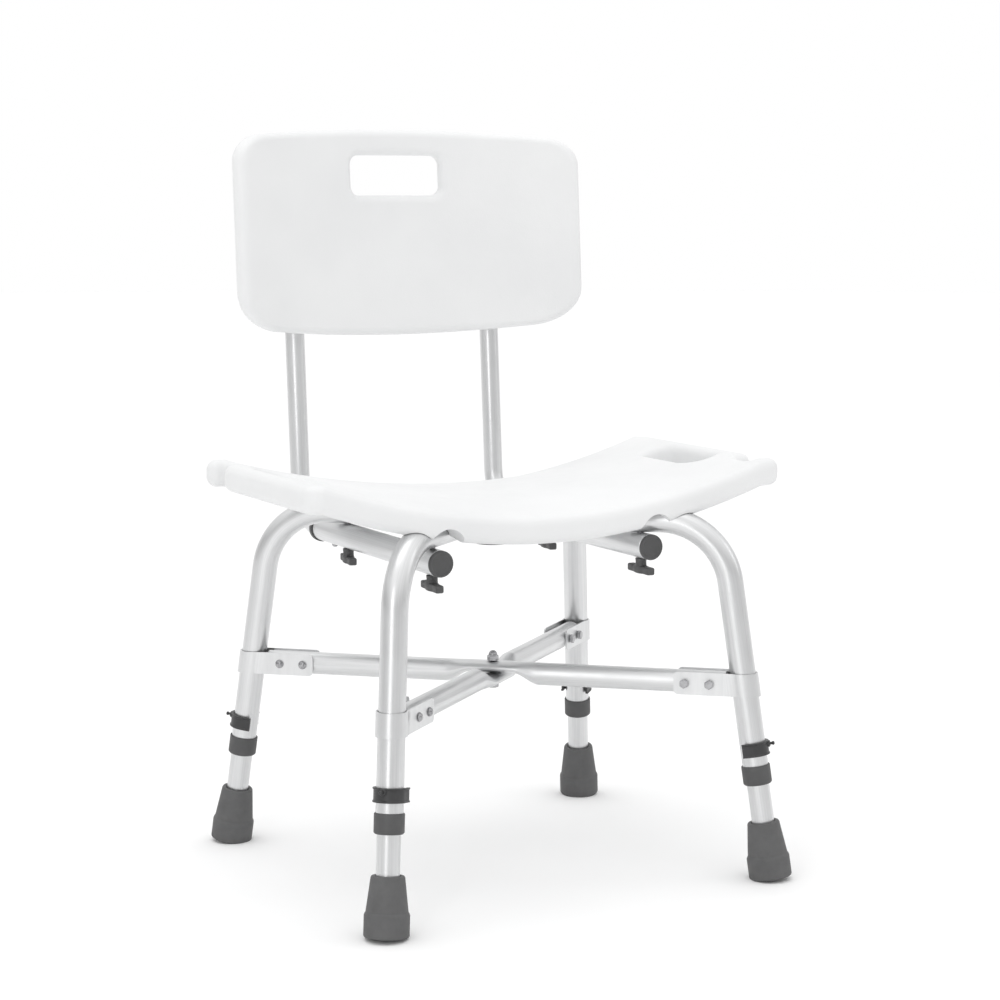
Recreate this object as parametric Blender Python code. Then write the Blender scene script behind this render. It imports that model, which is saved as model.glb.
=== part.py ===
"""Shower chair: a moulded seat and a curved back on two crossed tube hoops with telescoping, clip-locked legs.

Metres, +Z up. The sitter faces -Y. The origin is on the floor, midway between the chair's frontmost and rearmost points.
Left and right are as seen from the front: left is -X.
"""

import math

import bmesh
import bpy
from mathutils import Matrix, Vector

# Driving dimensions. Places are measured from the point on the floor below the seat's centre.
SEAT_CENTRE_Y = -0.01993
GAP = 0.0003
SIDES = 16
SMALL_SIDES = 10

TUBE_RADIUS = 0.0127
TUBE_BORE = 0.0113
FOOT_X, FOOT_Y = 0.2088, 0.1924
KNEE_X, KNEE_Y, KNEE_Z = 0.1758, 0.1483, 0.3520
HOOP_BEND = 0.070
LEG_END_Z = 0.0962
CROSSING_FLAT, CROSSING_ROUND = 0.022, 0.048

EXTENSION_RADIUS, EXTENSION_BORE = 0.0110, 0.0096
EXTENSION_TOP = 0.1640
HOLE_PITCH, HOLE_COUNT = 0.020, 7
PIN_HEIGHT = 0.0364
PIN_RADIUS, PIN_HOLE = 0.0023, 0.0027
TIP_BASE_Z = 0.0016
TIP_HEIGHT, TIP_FLOOR = 0.056, 0.012
CLIP_MIDDLE, CLIP_HEIGHT = 0.0332, 0.0135
CLIP_INNER, CLIP_OUTER, CLIP_REACH = 0.0130, 0.0160, 0.0089

BRACE_RADIUS, BRACE_BORE = 0.0113, 0.0099
BRACE_Z = 0.1929
BRACE_START = 0.0179
STRAP_HEIGHT, STRAP_THICKNESS = 0.0225, 0.0016
STRAP_INNER, STRAP_EAR = 0.0134, 0.0116
STRAP_LENGTH = 0.0682
STRAP_BOLTS = (0.0328, 0.0574)
STRAP_BOLT_RADIUS, STRAP_BOLT_HOLE = 0.0024, 0.0029

RAIL_X = 0.1146
RAIL_Z = 0.3263
RAIL_FRONT, RAIL_REAR = -0.1137, 0.1590
KNOB_Y = RAIL_X * KNEE_Y / KNEE_X
KNOB_BOLT_RADIUS, KNOB_BOLT_HOLE = 0.0032, 0.0037
KNOB_TOP = RAIL_Z - TUBE_RADIUS - GAP
KNOB_BOTTOM = 0.2983
KNOB_BAR_LENGTH, KNOB_BAR_WIDTH, KNOB_BAR_HEIGHT = 0.0420, 0.0090, 0.0080
KNOB_TURNS = {"front_left": 85, "front_right": 88, "back_left": 79, "back_right": 80}

POST_RADIUS, POST_BORE = 0.0100, 0.0085
POST_FRONT = 0.1060
POST_FOOT_Y = 0.2167
POST_LEAN = math.radians(4.0)
POST_BEND = 0.048
POST_TOP_Z = 0.6380
BUTTON_Y = 0.1300
BUTTON_RADIUS, BUTTON_HOLE = 0.0033, 0.0037

SEAT_HALF_WIDTH, SEAT_HALF_DEPTH = 0.2555, 0.1320
SEAT_CORNER = 0.018
SEAT_THICKNESS = 0.0270
SEAT_MIDDLE_Z, SEAT_RISE, SEAT_RISE_END = 0.3780, 0.0300, 0.237
SEAT_DROP, SEAT_DROP_START = 0.012, 0.060
HANDLE_X, HANDLE_WIDTH, HANDLE_LENGTH = 0.2175, 0.036, 0.097
NOTCH_Y, NOTCH_WIDTH, NOTCH_DEPTH = 0.0965, 0.030, 0.022
ARCH_X, ARCH_Z, ARCH_RADIUS = 0.1135, 0.3435, 0.0175

PANEL_HALF_WIDTH = 0.1979
PANEL_BOTTOM, PANEL_TOP = 0.5203, 0.7368
PANEL_THICKNESS = 0.0185
PANEL_BOW, PANEL_AHEAD = 0.052, 0.0102
PANEL_BOTTOM_BOW, PANEL_TOP_BOW = 0.0138, -0.0097
PANEL_TOP_CORNER, PANEL_BOTTOM_CORNER = 0.0328, 0.0476
GRIP_Z, GRIP_LENGTH, GRIP_HEIGHT, GRIP_CORNER = 0.6888, 0.105, 0.042, 0.010
SOCKET_RADIUS, SOCKET_REACH = 0.0134, 0.028
SOCKET_LOW, SOCKET_HIGH = 0.536, 0.650

CORNERS = {
    "front_left": (-1, -1),
    "front_right": (1, -1),
    "back_left": (-1, 1),
    "back_right": (1, 1),
}
SIDES_OF_CHAIR = {"left": -1, "right": 1}
UP = Vector((0, 0, 1))


def clear_scene():
    for old in list(bpy.data.objects):
        bpy.data.objects.remove(old)


def make_material(name, colour, roughness, metallic=0.0):
    material = bpy.data.materials.new(name)
    material.use_nodes = True
    shader = material.node_tree.nodes["Principled BSDF"]
    shader.inputs["Base Color"].default_value = (*colour, 1.0)
    shader.inputs["Roughness"].default_value = roughness
    shader.inputs["Metallic"].default_value = metallic
    material.diffuse_color = (*colour, 1.0)
    return material


def make_object(name, bm, material, place=None):
    """Turns a bmesh into a named object under the chair's empty. place is its matrix there."""
    bmesh.ops.recalc_face_normals(bm, faces=bm.faces)
    mesh = bpy.data.meshes.new(name)
    bm.to_mesh(mesh)
    bm.free()
    mesh.shade_smooth()
    mesh.set_sharp_from_angle(angle=math.radians(35))
    obj = bpy.data.objects.new(name, mesh)
    if material:
        mesh.materials.append(material)
    bpy.context.scene.collection.objects.link(obj)
    obj.parent = CHAIR
    obj.matrix_local = place or Matrix.Identity(4)
    return obj


def make_cutter(name, bm, place=None):
    cutter = make_object(name, bm, None, place)
    cutter.hide_render = True
    cutter.display_type = "WIRE"
    return cutter


def boolean(obj, other, operation="DIFFERENCE"):
    modifier = obj.modifiers.new(f"{operation.lower()} {other.name}", "BOOLEAN")
    modifier.operation = operation
    modifier.object = other
    modifier.solver = "EXACT"


def ring(centre, tangent, side, half_side, half_other=None, sides=SIDES):
    """Points of an ellipse around a path; side is a direction across the path."""
    across = (side - tangent * side.dot(tangent)).normalized()
    other = tangent.cross(across)
    half_other = half_side if half_other is None else half_other
    angles = [2 * math.pi * (i + 0.5) / sides for i in range(sides)]
    return [centre + across * half_side * math.cos(a) + other * half_other * math.sin(a) for a in angles]


def loft(rings, closed=False):
    """Skins rings of equal length: closed joins the last to the first, otherwise both ends are capped."""
    bm = bmesh.new()
    loops = [[bm.verts.new(point) for point in points] for points in rings]
    followers = loops[1:] + loops[:1] if closed else loops[1:]
    for low, high in zip(loops, followers):
        for i in range(len(low)):
            j = (i + 1) % len(low)
            bm.faces.new((low[i], low[j], high[j], high[i]))
    if not closed:
        bm.faces.new(loops[0])
        bm.faces.new(loops[-1])
    return bm


def turned(profile, closed=False, sides=SIDES):
    """A body of revolution about Z from (radius, height) pairs."""
    rings = [ring(Vector((0, 0, z)), UP, Vector((1, 0, 0)), r, sides=sides) for r, z in profile]
    return loft(rings, closed)


def prism(outline, low, high):
    """Extrudes a flat outline of (x, y) along Z."""
    return loft([[Vector((x, y, z)) for x, y in outline] for z in (low, high)])


def arc(centre_x, centre_y, radius, start, end, steps):
    """Points of an arc, in degrees, both ends included."""
    angles = [math.radians(start + (end - start) * i / steps) for i in range(steps + 1)]
    return [(centre_x + radius * math.cos(a), centre_y + radius * math.sin(a)) for a in angles]


def rounded_box(half_x, half_y, radius, steps=4):
    """A rectangle with round corners, about the origin, anticlockwise."""
    outline = []
    for sx, sy, start in ((1, 1, 0), (-1, 1, 90), (-1, -1, 180), (1, -1, 270)):
        centre_x, centre_y = sx * (half_x - radius), sy * (half_y - radius)
        outline += arc(centre_x, centre_y, radius, start, start + 90, steps)
    return outline


def rod(start, end, radius, sides=SMALL_SIDES):
    direction = (end - start).normalized()
    side = direction.orthogonal()
    return loft([ring(point, direction, side, radius, sides=sides) for point in (start, end)])


def combine(parts):
    """Joins separate bmeshes into one, for a cutter of several bodies."""
    whole = bmesh.new()
    for bm in parts:
        mesh = bpy.data.meshes.new("part of a cutter")
        bmesh.ops.recalc_face_normals(bm, faces=bm.faces)
        bm.to_mesh(mesh)
        bm.free()
        whole.from_mesh(mesh)
        bpy.data.meshes.remove(mesh)
    return whole


def rounded_path(corners, radius, steps):
    """(point, tangent) along straight runs joined by arcs of one radius."""
    direction = (corners[1] - corners[0]).normalized()
    stations = [(corners[0], direction)]
    for corner, after in zip(corners[1:], corners[2:]):
        leave = (after - corner).normalized()
        angle = direction.angle(leave)
        axis = direction.cross(leave).normalized()
        start = corner - direction * radius * math.tan(angle / 2)
        centre = start + axis.cross(direction) * radius
        for step in range(steps + 1):
            turn = Matrix.Rotation(angle * step / steps, 3, axis)
            stations.append((centre + turn @ (start - centre), turn @ direction))
        direction = leave
    stations.append((corners[-1], direction))
    return stations


def hollow(stations, side, radius, bore, sides=SIDES):
    """A tube with open ends along stations of (point, tangent)."""
    outer = [ring(point, tangent, side, radius, sides=sides) for point, tangent in stations]
    inner = [ring(point, tangent, side, bore, sides=sides) for point, tangent in stations]
    return loft(outer + inner[::-1], closed=True)


def leg_axis(sx, sy):
    """The leg's upward direction."""
    knee = Vector((sx * KNEE_X, sy * KNEE_Y, KNEE_Z))
    return (knee - Vector((sx * FOOT_X, sy * FOOT_Y, 0))).normalized()


def leg_point(sx, sy, height):
    """The point of the leg's axis at this height above the floor."""
    axis = leg_axis(sx, sy)
    return Vector((sx * FOOT_X, sy * FOOT_Y, 0)) + axis * (height / axis.z)


def leg_frame(sx, sy):
    """A matrix whose origin is the hoop's lower end, +Z is up the leg and +X points out along the diagonal."""
    axis = leg_axis(sx, sy)
    outwards = Vector((sx * KNEE_X, sy * KNEE_Y, 0))
    across = (outwards - axis * outwards.dot(axis)).normalized()
    rotation = Matrix((across, axis.cross(across), axis)).transposed()
    return Matrix.Translation(leg_point(sx, sy, LEG_END_Z)) @ rotation.to_4x4()


def flattened_rings(stations, side, radius, trim, middle, half_height):
    """Rings along a tube that is pressed flat near the middle of its horizontal run.

    trim is taken off the radius, for the bore, and the flat part is shifted up or down by middle.
    """
    rings = []
    for point, tangent in stations:
        reach = math.hypot(point.x, point.y)
        flatness = 1 - min(max((reach - CROSSING_FLAT) / (CROSSING_ROUND - CROSSING_FLAT), 0), 1)
        flatness = flatness * flatness * (3 - 2 * flatness)
        tall = radius + (half_height - radius) * flatness
        wide = radius * (1 + 0.30 * flatness)
        centre = point + UP * middle * flatness
        rings.append(ring(centre, tangent, side, wide - trim, tall - trim))
    return rings


def crossing_stations(start, end):
    """Stations of a straight run through the crossing, close together where it is pressed flat."""
    direction = (end - start).normalized()
    middle = (start + end) / 2
    spread = CROSSING_ROUND - CROSSING_FLAT
    reaches = [CROSSING_ROUND - spread * i / 2 for i in range(3)]
    offsets = [-reach for reach in reaches] + [0] + reaches[::-1]
    return [(middle + direction * offset, direction) for offset in offsets]


def hoop_rings(first, second, trim, level):
    """Rings of one hoop from the first leg's end, over the middle, to the second leg's end."""
    knees = [Vector((sx * KNEE_X, sy * KNEE_Y, KNEE_Z)) for sx, sy in (first, second)]
    corners = [leg_point(*first, LEG_END_Z), *knees, leg_point(*second, LEG_END_Z)]
    bends = rounded_path(corners, HOOP_BEND, 5)
    half = len(bends) // 2
    stations = bends[:half] + crossing_stations(*knees) + bends[half:]
    side = (knees[1] - knees[0]).normalized().cross(UP)
    flat = TUBE_RADIUS / 2 - GAP / 2
    return flattened_rings(stations, side, TUBE_RADIUS, trim, level * TUBE_RADIUS / 2, flat)


def knob_place(sx, sy):
    return Vector((sx * RAIL_X, sy * KNOB_Y, 0))


def knob_bolt_cutter():
    bottom, top = RAIL_Z - 0.020, SEAT_MIDDLE_Z - 0.0015
    holes = [rod(knob_place(*c) + UP * bottom, knob_place(*c) + UP * top, KNOB_BOLT_HOLE) for c in CORNERS.values()]
    holes.append(rod(UP * bottom, UP * (SEAT_MIDDLE_Z - 0.0045), KNOB_BOLT_HOLE))
    return make_cutter("cutter_seat_bolts", combine(holes))


def pin_cutter(name, place, heights):
    inner, outer = EXTENSION_BORE - 0.004, TUBE_RADIUS + 0.004
    pins = [rod(Vector((inner, 0, z)), Vector((outer, 0, z)), PIN_HOLE, 8) for z in heights]
    return make_cutter(name, combine(pins), place)


def make_hoops(material, bolt_cutter):
    for name, corners, level in (
        ("leg_hoop_upper", ("back_left", "front_right"), 1),
        ("leg_hoop_lower", ("front_left", "back_right"), -1),
    ):
        first, second = (CORNERS[c] for c in corners)
        outer = hoop_rings(first, second, 0, level)
        inner = hoop_rings(first, second, TUBE_RADIUS - TUBE_BORE, level)
        hoop = make_object(name, loft(outer + inner[::-1], closed=True), material)
        boolean(hoop, bolt_cutter)
        for corner in corners:
            place = leg_frame(*CORNERS[corner])
            boolean(hoop, pin_cutter(f"cutter_leg_pin_{corner}", place, [PIN_HEIGHT]))


def make_legs(metal, rubber, plastic, floor_cutter):
    tip_base = -(LEG_END_Z - TIP_BASE_Z) / leg_axis(1, 1).z
    for corner, signs in CORNERS.items():
        place = leg_frame(*signs)
        bottom = tip_base + TIP_FLOOR + GAP
        tube = [
            (EXTENSION_RADIUS, bottom),
            (EXTENSION_RADIUS, EXTENSION_TOP),
            (EXTENSION_BORE, EXTENSION_TOP),
            (EXTENSION_BORE, bottom),
        ]
        extension = make_object(f"leg_extension_{corner}", turned(tube, closed=True), metal, place)
        heights = [PIN_HEIGHT + HOLE_PITCH * i for i in range(HOLE_COUNT)]
        boolean(extension, pin_cutter(f"cutter_extension_{corner}", place, heights))

        tip = [
            (0.0200, tip_base),
            (0.0211, tip_base + 0.0012),
            (0.0211, tip_base + 0.0210),
            (0.0200, tip_base + 0.0226),
            (0.0156, tip_base + TIP_HEIGHT - 0.0012),
            (0.0146, tip_base + TIP_HEIGHT),
            (EXTENSION_RADIUS + GAP, tip_base + TIP_HEIGHT),
            (EXTENSION_RADIUS + GAP, tip_base + TIP_FLOOR),
        ]
        boolean(make_object(f"rubber_tip_{corner}", turned(tip), rubber, place), floor_cutter)

        collar = [
            (EXTENSION_RADIUS + 0.0004, -0.0023),
            (0.0142, -0.0023),
            (0.0142, 0.0169),
            (TUBE_RADIUS + GAP, 0.0169),
            (TUBE_RADIUS + GAP, -GAP),
            (EXTENSION_RADIUS + 0.0004, -GAP),
        ]
        make_object(f"leg_collar_{corner}", turned(collar, closed=True), plastic, place)


def make_clips(plastic):
    low, high = CLIP_MIDDLE - CLIP_HEIGHT / 2, CLIP_MIDDLE + CLIP_HEIGHT / 2
    outer = arc(0, 0, CLIP_OUTER, -90, 90, 8)
    inner = arc(0, 0, CLIP_INNER, 90, -90, 8)
    ends = [(-CLIP_REACH, CLIP_OUTER), (-CLIP_REACH, CLIP_INNER)]
    outline = outer + ends + inner + [(x, -y) for x, y in ends[::-1]]
    for corner, signs in CORNERS.items():
        place = leg_frame(*signs)
        clip = make_object(f"leg_clip_{corner}", prism(outline, low, high), plastic, place)
        side = Vector((0, 1, 0))
        axis = Vector((1, 0, 0))
        profile = [
            (0.0082, PIN_RADIUS * 0.7),
            (0.0092, PIN_RADIUS),
            (CLIP_OUTER + 0.0012, PIN_RADIUS),
            (CLIP_OUTER + 0.0016, 0.0014),
            (CLIP_OUTER + 0.0034, 0.0014),
            (CLIP_OUTER + 0.0040, 0.0020),
            (CLIP_OUTER + 0.0058, 0.0018),
        ]
        centres = [Vector((x, 0, PIN_HEIGHT)) for x, _ in profile]
        pin = loft([ring(c, axis, side, r, sides=8) for c, (_, r) in zip(centres, profile)])
        boolean(clip, make_cutter(f"pin_of_clip_{corner}", pin, place), "UNION")


def brace_frame(first, height=BRACE_Z):
    """A matrix at a leg's axis, +X along the brace towards the middle, +Z up."""
    origin = leg_point(*first, height)
    inwards = -Vector((origin.x, origin.y, 0)).normalized()
    rotation = Matrix((inwards, UP.cross(inwards), UP)).transposed()
    return Matrix.Translation(origin) @ rotation.to_4x4()


def strap_outline(height, lean):
    """The strap's outline at this height above its middle; its loop follows the leaning leg."""
    shift = lean * height
    outline = []
    for radius, ear, order in (
        (STRAP_INNER + STRAP_THICKNESS, STRAP_EAR + STRAP_THICKNESS, 1),
        (STRAP_INNER, STRAP_EAR, -1),
    ):
        loop = [(x + shift.x, y + shift.y) for x, y in arc(0, 0, radius, 62, 298, 10)]
        start = 0.0150
        side = [(STRAP_LENGTH, ear), (start + shift.x, ear), *loop, (start + shift.x, -ear), (STRAP_LENGTH, -ear)]
        outline += side[::order]
    return outline


def make_clamps(metal, steel, plastic, braces):
    for corner, signs in CORNERS.items():
        place = brace_frame(signs)
        axis = place.to_3x3().inverted() @ leg_axis(*signs)
        lean = Vector((axis.x, axis.y)) / axis.z
        heights = [-STRAP_HEIGHT / 2, STRAP_HEIGHT / 2]
        rings = [[Vector((x, y, z)) for x, y in strap_outline(z, lean)] for z in heights]
        strap = make_object(f"brace_clamp_{corner}", loft(rings), metal, place)

        reach = STRAP_EAR + STRAP_THICKNESS + 0.004
        holes = [rod(Vector((x, -reach, 0)), Vector((x, reach, 0)), STRAP_BOLT_HOLE, 8) for x in STRAP_BOLTS]
        cutter = make_cutter(f"cutter_clamp_bolts_{corner}", combine(holes), place)
        boolean(strap, cutter)
        boolean(braces[corner], cutter)
        for number, x in zip(("outer", "inner"), STRAP_BOLTS):
            make_object(f"clamp_bolt_{corner}_{number}", clamp_bolt(x), steel, place)

        plug = [(BRACE_RADIUS - 0.0006, -0.0023), (BRACE_RADIUS, -0.0017), (BRACE_RADIUS, -GAP)]
        plug += [(BRACE_BORE - GAP, -GAP), (BRACE_BORE - GAP, 0.0055)]
        along = place @ Matrix.Translation((BRACE_START, 0, 0)) @ Matrix.Rotation(math.radians(90), 4, "Y")
        make_object(f"brace_plug_{corner}", turned(plug), plastic, along)


def clamp_bolt(x):
    """A pan-head bolt across the ears with its nut, along +Y, as one turned body."""
    face = STRAP_EAR + STRAP_THICKNESS + GAP
    axis, side = Vector((0, 1, 0)), Vector((1, 0, 0))
    profile = [
        (-face - 0.0030, 0.0026),
        (-face - 0.0014, 0.0044),
        (-face, 0.0044),
        (-face, STRAP_BOLT_RADIUS),
        (face, STRAP_BOLT_RADIUS),
        (face, 0.0046),
        (face + 0.0042, 0.0046),
        (face + 0.0042, STRAP_BOLT_RADIUS),
        (face + 0.0068, STRAP_BOLT_RADIUS * 0.9),
    ]
    return loft([ring(Vector((x, y, 0)), axis, side, r, sides=8) for y, r in profile])


def make_braces(metal):
    """Two straight tubes that cross, each pressed flat where they meet. Returns each corner's brace."""
    braces = {}
    for name, corners, level in (
        ("cross_brace_upper", ("back_left", "front_right"), 1),
        ("cross_brace_lower", ("front_left", "back_right"), -1),
    ):
        ends = [brace_frame(CORNERS[c]) @ Vector((BRACE_START, 0, 0)) for c in corners]
        direction = (ends[1] - ends[0]).normalized()
        stations = [(ends[0], direction), *crossing_stations(*ends), (ends[1], direction)]
        side = direction.cross(UP)
        flat = BRACE_RADIUS / 2 - GAP / 2
        rings = [
            flattened_rings(stations, side, BRACE_RADIUS, trim, level * BRACE_RADIUS / 2, flat)
            for trim in (0, BRACE_RADIUS - BRACE_BORE)
        ]
        brace = make_object(name, loft(rings[0] + rings[1][::-1], closed=True), metal)
        braces.update({corner: brace for corner in corners})
    return braces


def make_brace_joint(steel, braces):
    top, bottom = BRACE_Z + BRACE_RADIUS, BRACE_Z - BRACE_RADIUS
    cutter = make_cutter("cutter_brace_centre", rod(UP * (bottom - 0.01), UP * (top + 0.01), 0.0036))
    boolean(braces["back_left"], cutter)
    boolean(braces["front_left"], cutter)
    head = bottom - GAP
    bolt = [
        (0.0042, head - 0.0042),
        (0.0058, head - 0.0036),
        (0.0058, head),
        (0.0030, head),
        (0.0030, top + 0.0072),
        (0.0025, top + 0.0078),
    ]
    make_object("brace_centre_bolt", turned(bolt, sides=SMALL_SIDES), steel)
    nut = [
        (0.0034, top + 0.0084),
        (0.0034, top + GAP),
        (0.0058, top + GAP),
        (0.0058, top + 0.0056),
        (0.0044, top + 0.0066),
        (0.0036, top + 0.0096),
        (0.0018, top + 0.0106),
    ]
    make_object("brace_centre_nut", turned(nut, sides=SMALL_SIDES), steel)


def make_rails(metal, plastic, bolt_cutter):
    for side, sx in SIDES_OF_CHAIR.items():
        along = Matrix.Translation((sx * RAIL_X, 0, RAIL_Z)) @ Matrix.Rotation(math.radians(-90), 4, "X")
        tube = [(TUBE_RADIUS, RAIL_FRONT), (TUBE_RADIUS, RAIL_REAR), (TUBE_BORE, RAIL_REAR), (TUBE_BORE, RAIL_FRONT)]
        rail = make_object(f"seat_rail_{side}", turned(tube, closed=True), metal, along)
        boolean(rail, bolt_cutter)
        boolean(rail, button_cutter(f"cutter_rail_button_{side}", sx))

        spigot = TUBE_BORE - GAP
        front = RAIL_FRONT - GAP
        cap = [(TUBE_RADIUS - 0.0008, front - 0.003), (TUBE_RADIUS, front - 0.0022), (TUBE_RADIUS, front)]
        cap += [(spigot, front), (spigot, front + 0.0125)]
        make_object(f"rail_cap_{side}", turned(cap), plastic, along)

        mouth = POST_RADIUS + 0.00035
        rear = RAIL_REAR + GAP
        bush = [(mouth, rear + 0.0065), (0.0132, rear + 0.0065), (0.0140, rear + 0.0055), (0.0140, rear)]
        bush += [(spigot, rear), (spigot, rear - 0.019), (mouth, rear - 0.019)]
        make_object(f"rail_bush_{side}", turned(bush, closed=True), plastic, along)


def button_cutter(name, sx):
    centre = Vector((sx * RAIL_X, BUTTON_Y, RAIL_Z))
    return make_cutter(name, rod(centre - UP * 0.020, centre - UP * 0.004, BUTTON_HOLE))


def make_knobs(plastic, steel):
    bar_top = KNOB_BOTTOM + KNOB_BAR_HEIGHT
    for corner, signs in CORNERS.items():
        turn = Matrix.Rotation(math.radians(KNOB_TURNS[corner]), 4, "Z")
        place = Matrix.Translation(knob_place(*signs)) @ turn
        bar = prism(rounded_box(KNOB_BAR_LENGTH / 2, KNOB_BAR_WIDTH / 2, 0.002, 2), KNOB_BOTTOM, bar_top)
        knob = make_object(f"t_knob_{corner}", bar, plastic, place)
        stem = turned([(0.0056, KNOB_BOTTOM + 0.001), (0.0056, KNOB_TOP)], sides=16)
        boolean(knob, make_cutter(f"stem_of_knob_{corner}", stem, place), "UNION")
        socket = turned([(KNOB_BOLT_RADIUS + GAP, KNOB_BOTTOM + 0.004), (KNOB_BOLT_RADIUS + GAP, KNOB_TOP + 0.002)])
        boolean(knob, make_cutter(f"socket_of_knob_{corner}", socket, place))
        bolt = [
            (KNOB_BOLT_RADIUS, KNOB_BOTTOM + 0.004 + GAP),
            (KNOB_BOLT_RADIUS, SEAT_MIDDLE_Z - 0.0036),
            (KNOB_BOLT_RADIUS * 0.8, SEAT_MIDDLE_Z - 0.0024),
        ]
        make_object(f"knob_bolt_{corner}", turned(bolt, sides=SMALL_SIDES), steel, place)


def make_hoop_joint(plastic, steel):
    top = KNEE_Z - TUBE_RADIUS - GAP
    spacer = [
        (0.0076, top - 0.0150),
        (0.0190, top - 0.0150),
        (0.0205, top - 0.0135),
        (0.0205, top),
        (0.0036, top),
        (0.0036, top - 0.0095),
        (0.0076, top - 0.0095),
    ]
    make_object("hoop_centre_spacer", turned(spacer, closed=True), plastic)
    head = top - 0.0095 - GAP
    bolt = [(0.0056, head - 0.0036), (0.0060, head - 0.0030), (0.0060, head), (0.0031, head)]
    bolt += [(0.0031, SEAT_MIDDLE_Z - 0.0060)]
    make_object("hoop_centre_bolt", turned(bolt, sides=SMALL_SIDES), steel)


def post_foot(sx):
    return Vector((sx * RAIL_X, POST_FOOT_Y, RAIL_Z))


def post_direction():
    return Vector((0, math.sin(POST_LEAN), math.cos(POST_LEAN)))


def make_posts(metal, steel):
    for side, sx in SIDES_OF_CHAIR.items():
        foot, rise = post_foot(sx), post_direction()
        top = foot + rise * ((POST_TOP_Z - RAIL_Z) / rise.z)
        corners = [Vector((sx * RAIL_X, POST_FRONT, RAIL_Z)), foot, top]
        stations = rounded_path(corners, POST_BEND, 6)
        post = make_object(f"back_post_{side}", hollow(stations, Vector((1, 0, 0)), POST_RADIUS, POST_BORE, 16), metal)
        boolean(post, button_cutter(f"cutter_post_button_{side}", sx))

        place = Matrix.Translation((sx * RAIL_X, BUTTON_Y, RAIL_Z))
        outside = -TUBE_RADIUS - 0.0030
        shank = [
            (0.0018, outside),
            (0.0028, outside + 0.0006),
            (BUTTON_RADIUS, outside + 0.0018),
            (BUTTON_RADIUS, -0.0066),
        ]
        button = make_object(f"snap_button_{side}", turned(shank, sides=SMALL_SIDES), steel, place)
        strip = prism(rounded_box(0.0026, 0.0150, 0.0020, 2), -0.0070, -0.0060)
        bmesh.ops.translate(strip, verts=strip.verts, vec=(0, -0.0090, 0))
        boolean(button, make_cutter(f"strip_of_button_{side}", strip, place), "UNION")


def slab(outline, thickness, edge, steps, cuts):
    """A flat plate about z = 0 with rounded edges, cut across for bending. cuts are (axis, places)."""
    bm = prism(outline, -thickness / 2, thickness / 2)
    bmesh.ops.recalc_face_normals(bm, faces=bm.faces)
    rims = [e for e in bm.edges if abs(e.verts[0].co.z - e.verts[1].co.z) < 1e-6]
    bmesh.ops.bevel(bm, geom=rims, offset=edge, segments=steps, profile=0.5, affect="EDGES")
    for axis, places in cuts:
        normal = Vector([float(i == axis) for i in range(3)])
        for place in places:
            everything = bm.verts[:] + bm.edges[:] + bm.faces[:]
            bmesh.ops.bisect_plane(bm, geom=everything, plane_co=normal * place, plane_no=normal, dist=1e-6)
    bmesh.ops.triangulate(bm, faces=[f for f in bm.faces if len(f.verts) > 4])
    return bm


def seat_height(x, y):
    """The height of the seat's upper face: a saddle that rises to the sides and falls at the front and back."""
    across = min(abs(x), SEAT_RISE_END) / SEAT_RISE_END
    t = min(max((abs(y) - SEAT_DROP_START) / (SEAT_HALF_DEPTH - SEAT_DROP_START), 0), 1)
    fall = SEAT_DROP * (1 - across * across) * t * t * (3 - 2 * t)
    return SEAT_MIDDLE_Z + SEAT_RISE * across * across - fall


def make_seat(plastic, bolt_cutter):
    outline = rounded_box(SEAT_HALF_WIDTH, SEAT_HALF_DEPTH, SEAT_CORNER, 5)
    x_cuts = [SEAT_RISE_END * i / 7 for i in range(-7, 8)]
    y_cuts = [sign * place for sign in (-1, 1) for place in (0.060, 0.084, 0.109)]
    bm = slab(outline, SEAT_THICKNESS, 0.0105, 2, ((0, x_cuts), (1, y_cuts)))
    for vert in bm.verts:
        vert.co.z += seat_height(vert.co.x, vert.co.y) - SEAT_THICKNESS / 2
    seat = make_object("seat", bm, plastic)

    openings = []
    for sign in (-1, 1):
        grip = prism(rounded_box(HANDLE_WIDTH / 2, HANDLE_LENGTH / 2, 0.016, 4), 0.33, 0.45)
        bmesh.ops.translate(grip, verts=grip.verts, vec=(sign * HANDLE_X, 0, 0))
        edge = prism(rounded_box(NOTCH_DEPTH, NOTCH_WIDTH / 2, 0.010, 4), 0.33, 0.45)
        bmesh.ops.translate(edge, verts=edge.verts, vec=(sign * SEAT_HALF_WIDTH, -sign * NOTCH_Y, 0))
        arch = Vector((sign * ARCH_X, 0, ARCH_Z))
        reach = Vector((0, SEAT_HALF_DEPTH + 0.02, 0))
        openings += [grip, edge, rod(arch - reach, arch + reach, ARCH_RADIUS, 24)]
    boolean(seat, make_cutter("cutter_seat_openings", combine(openings)))
    for name, corners, level in (
        ("cutter_upper_hoop", ("back_left", "front_right"), 1),
        ("cutter_lower_hoop", ("front_left", "back_right"), -1),
    ):
        rings = hoop_rings(*(CORNERS[c] for c in corners), -0.0006, level)
        boolean(seat, make_cutter(name, loft(rings)))
    boolean(seat, bolt_cutter)


def panel_bend(x):
    """How far the panel's middle surface lies behind the posts' axes, and its slope there."""
    scale = PANEL_BOW / PANEL_HALF_WIDTH**2
    return -PANEL_AHEAD - scale * x * x, -2 * scale * x


def panel_outline(half_height):
    """The back's front view about its middle, before its bottom and top edges are bowed."""
    outline = []
    for sx, sz, start in ((1, 1, 0), (-1, 1, 90), (-1, -1, 180), (1, -1, 270)):
        radius = PANEL_TOP_CORNER if sz > 0 else PANEL_BOTTOM_CORNER
        centre_x, centre_z = sx * (PANEL_HALF_WIDTH - radius), sz * (half_height - radius)
        outline += arc(centre_x, centre_z, radius, start, start + 90, 5)
    return outline


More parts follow.
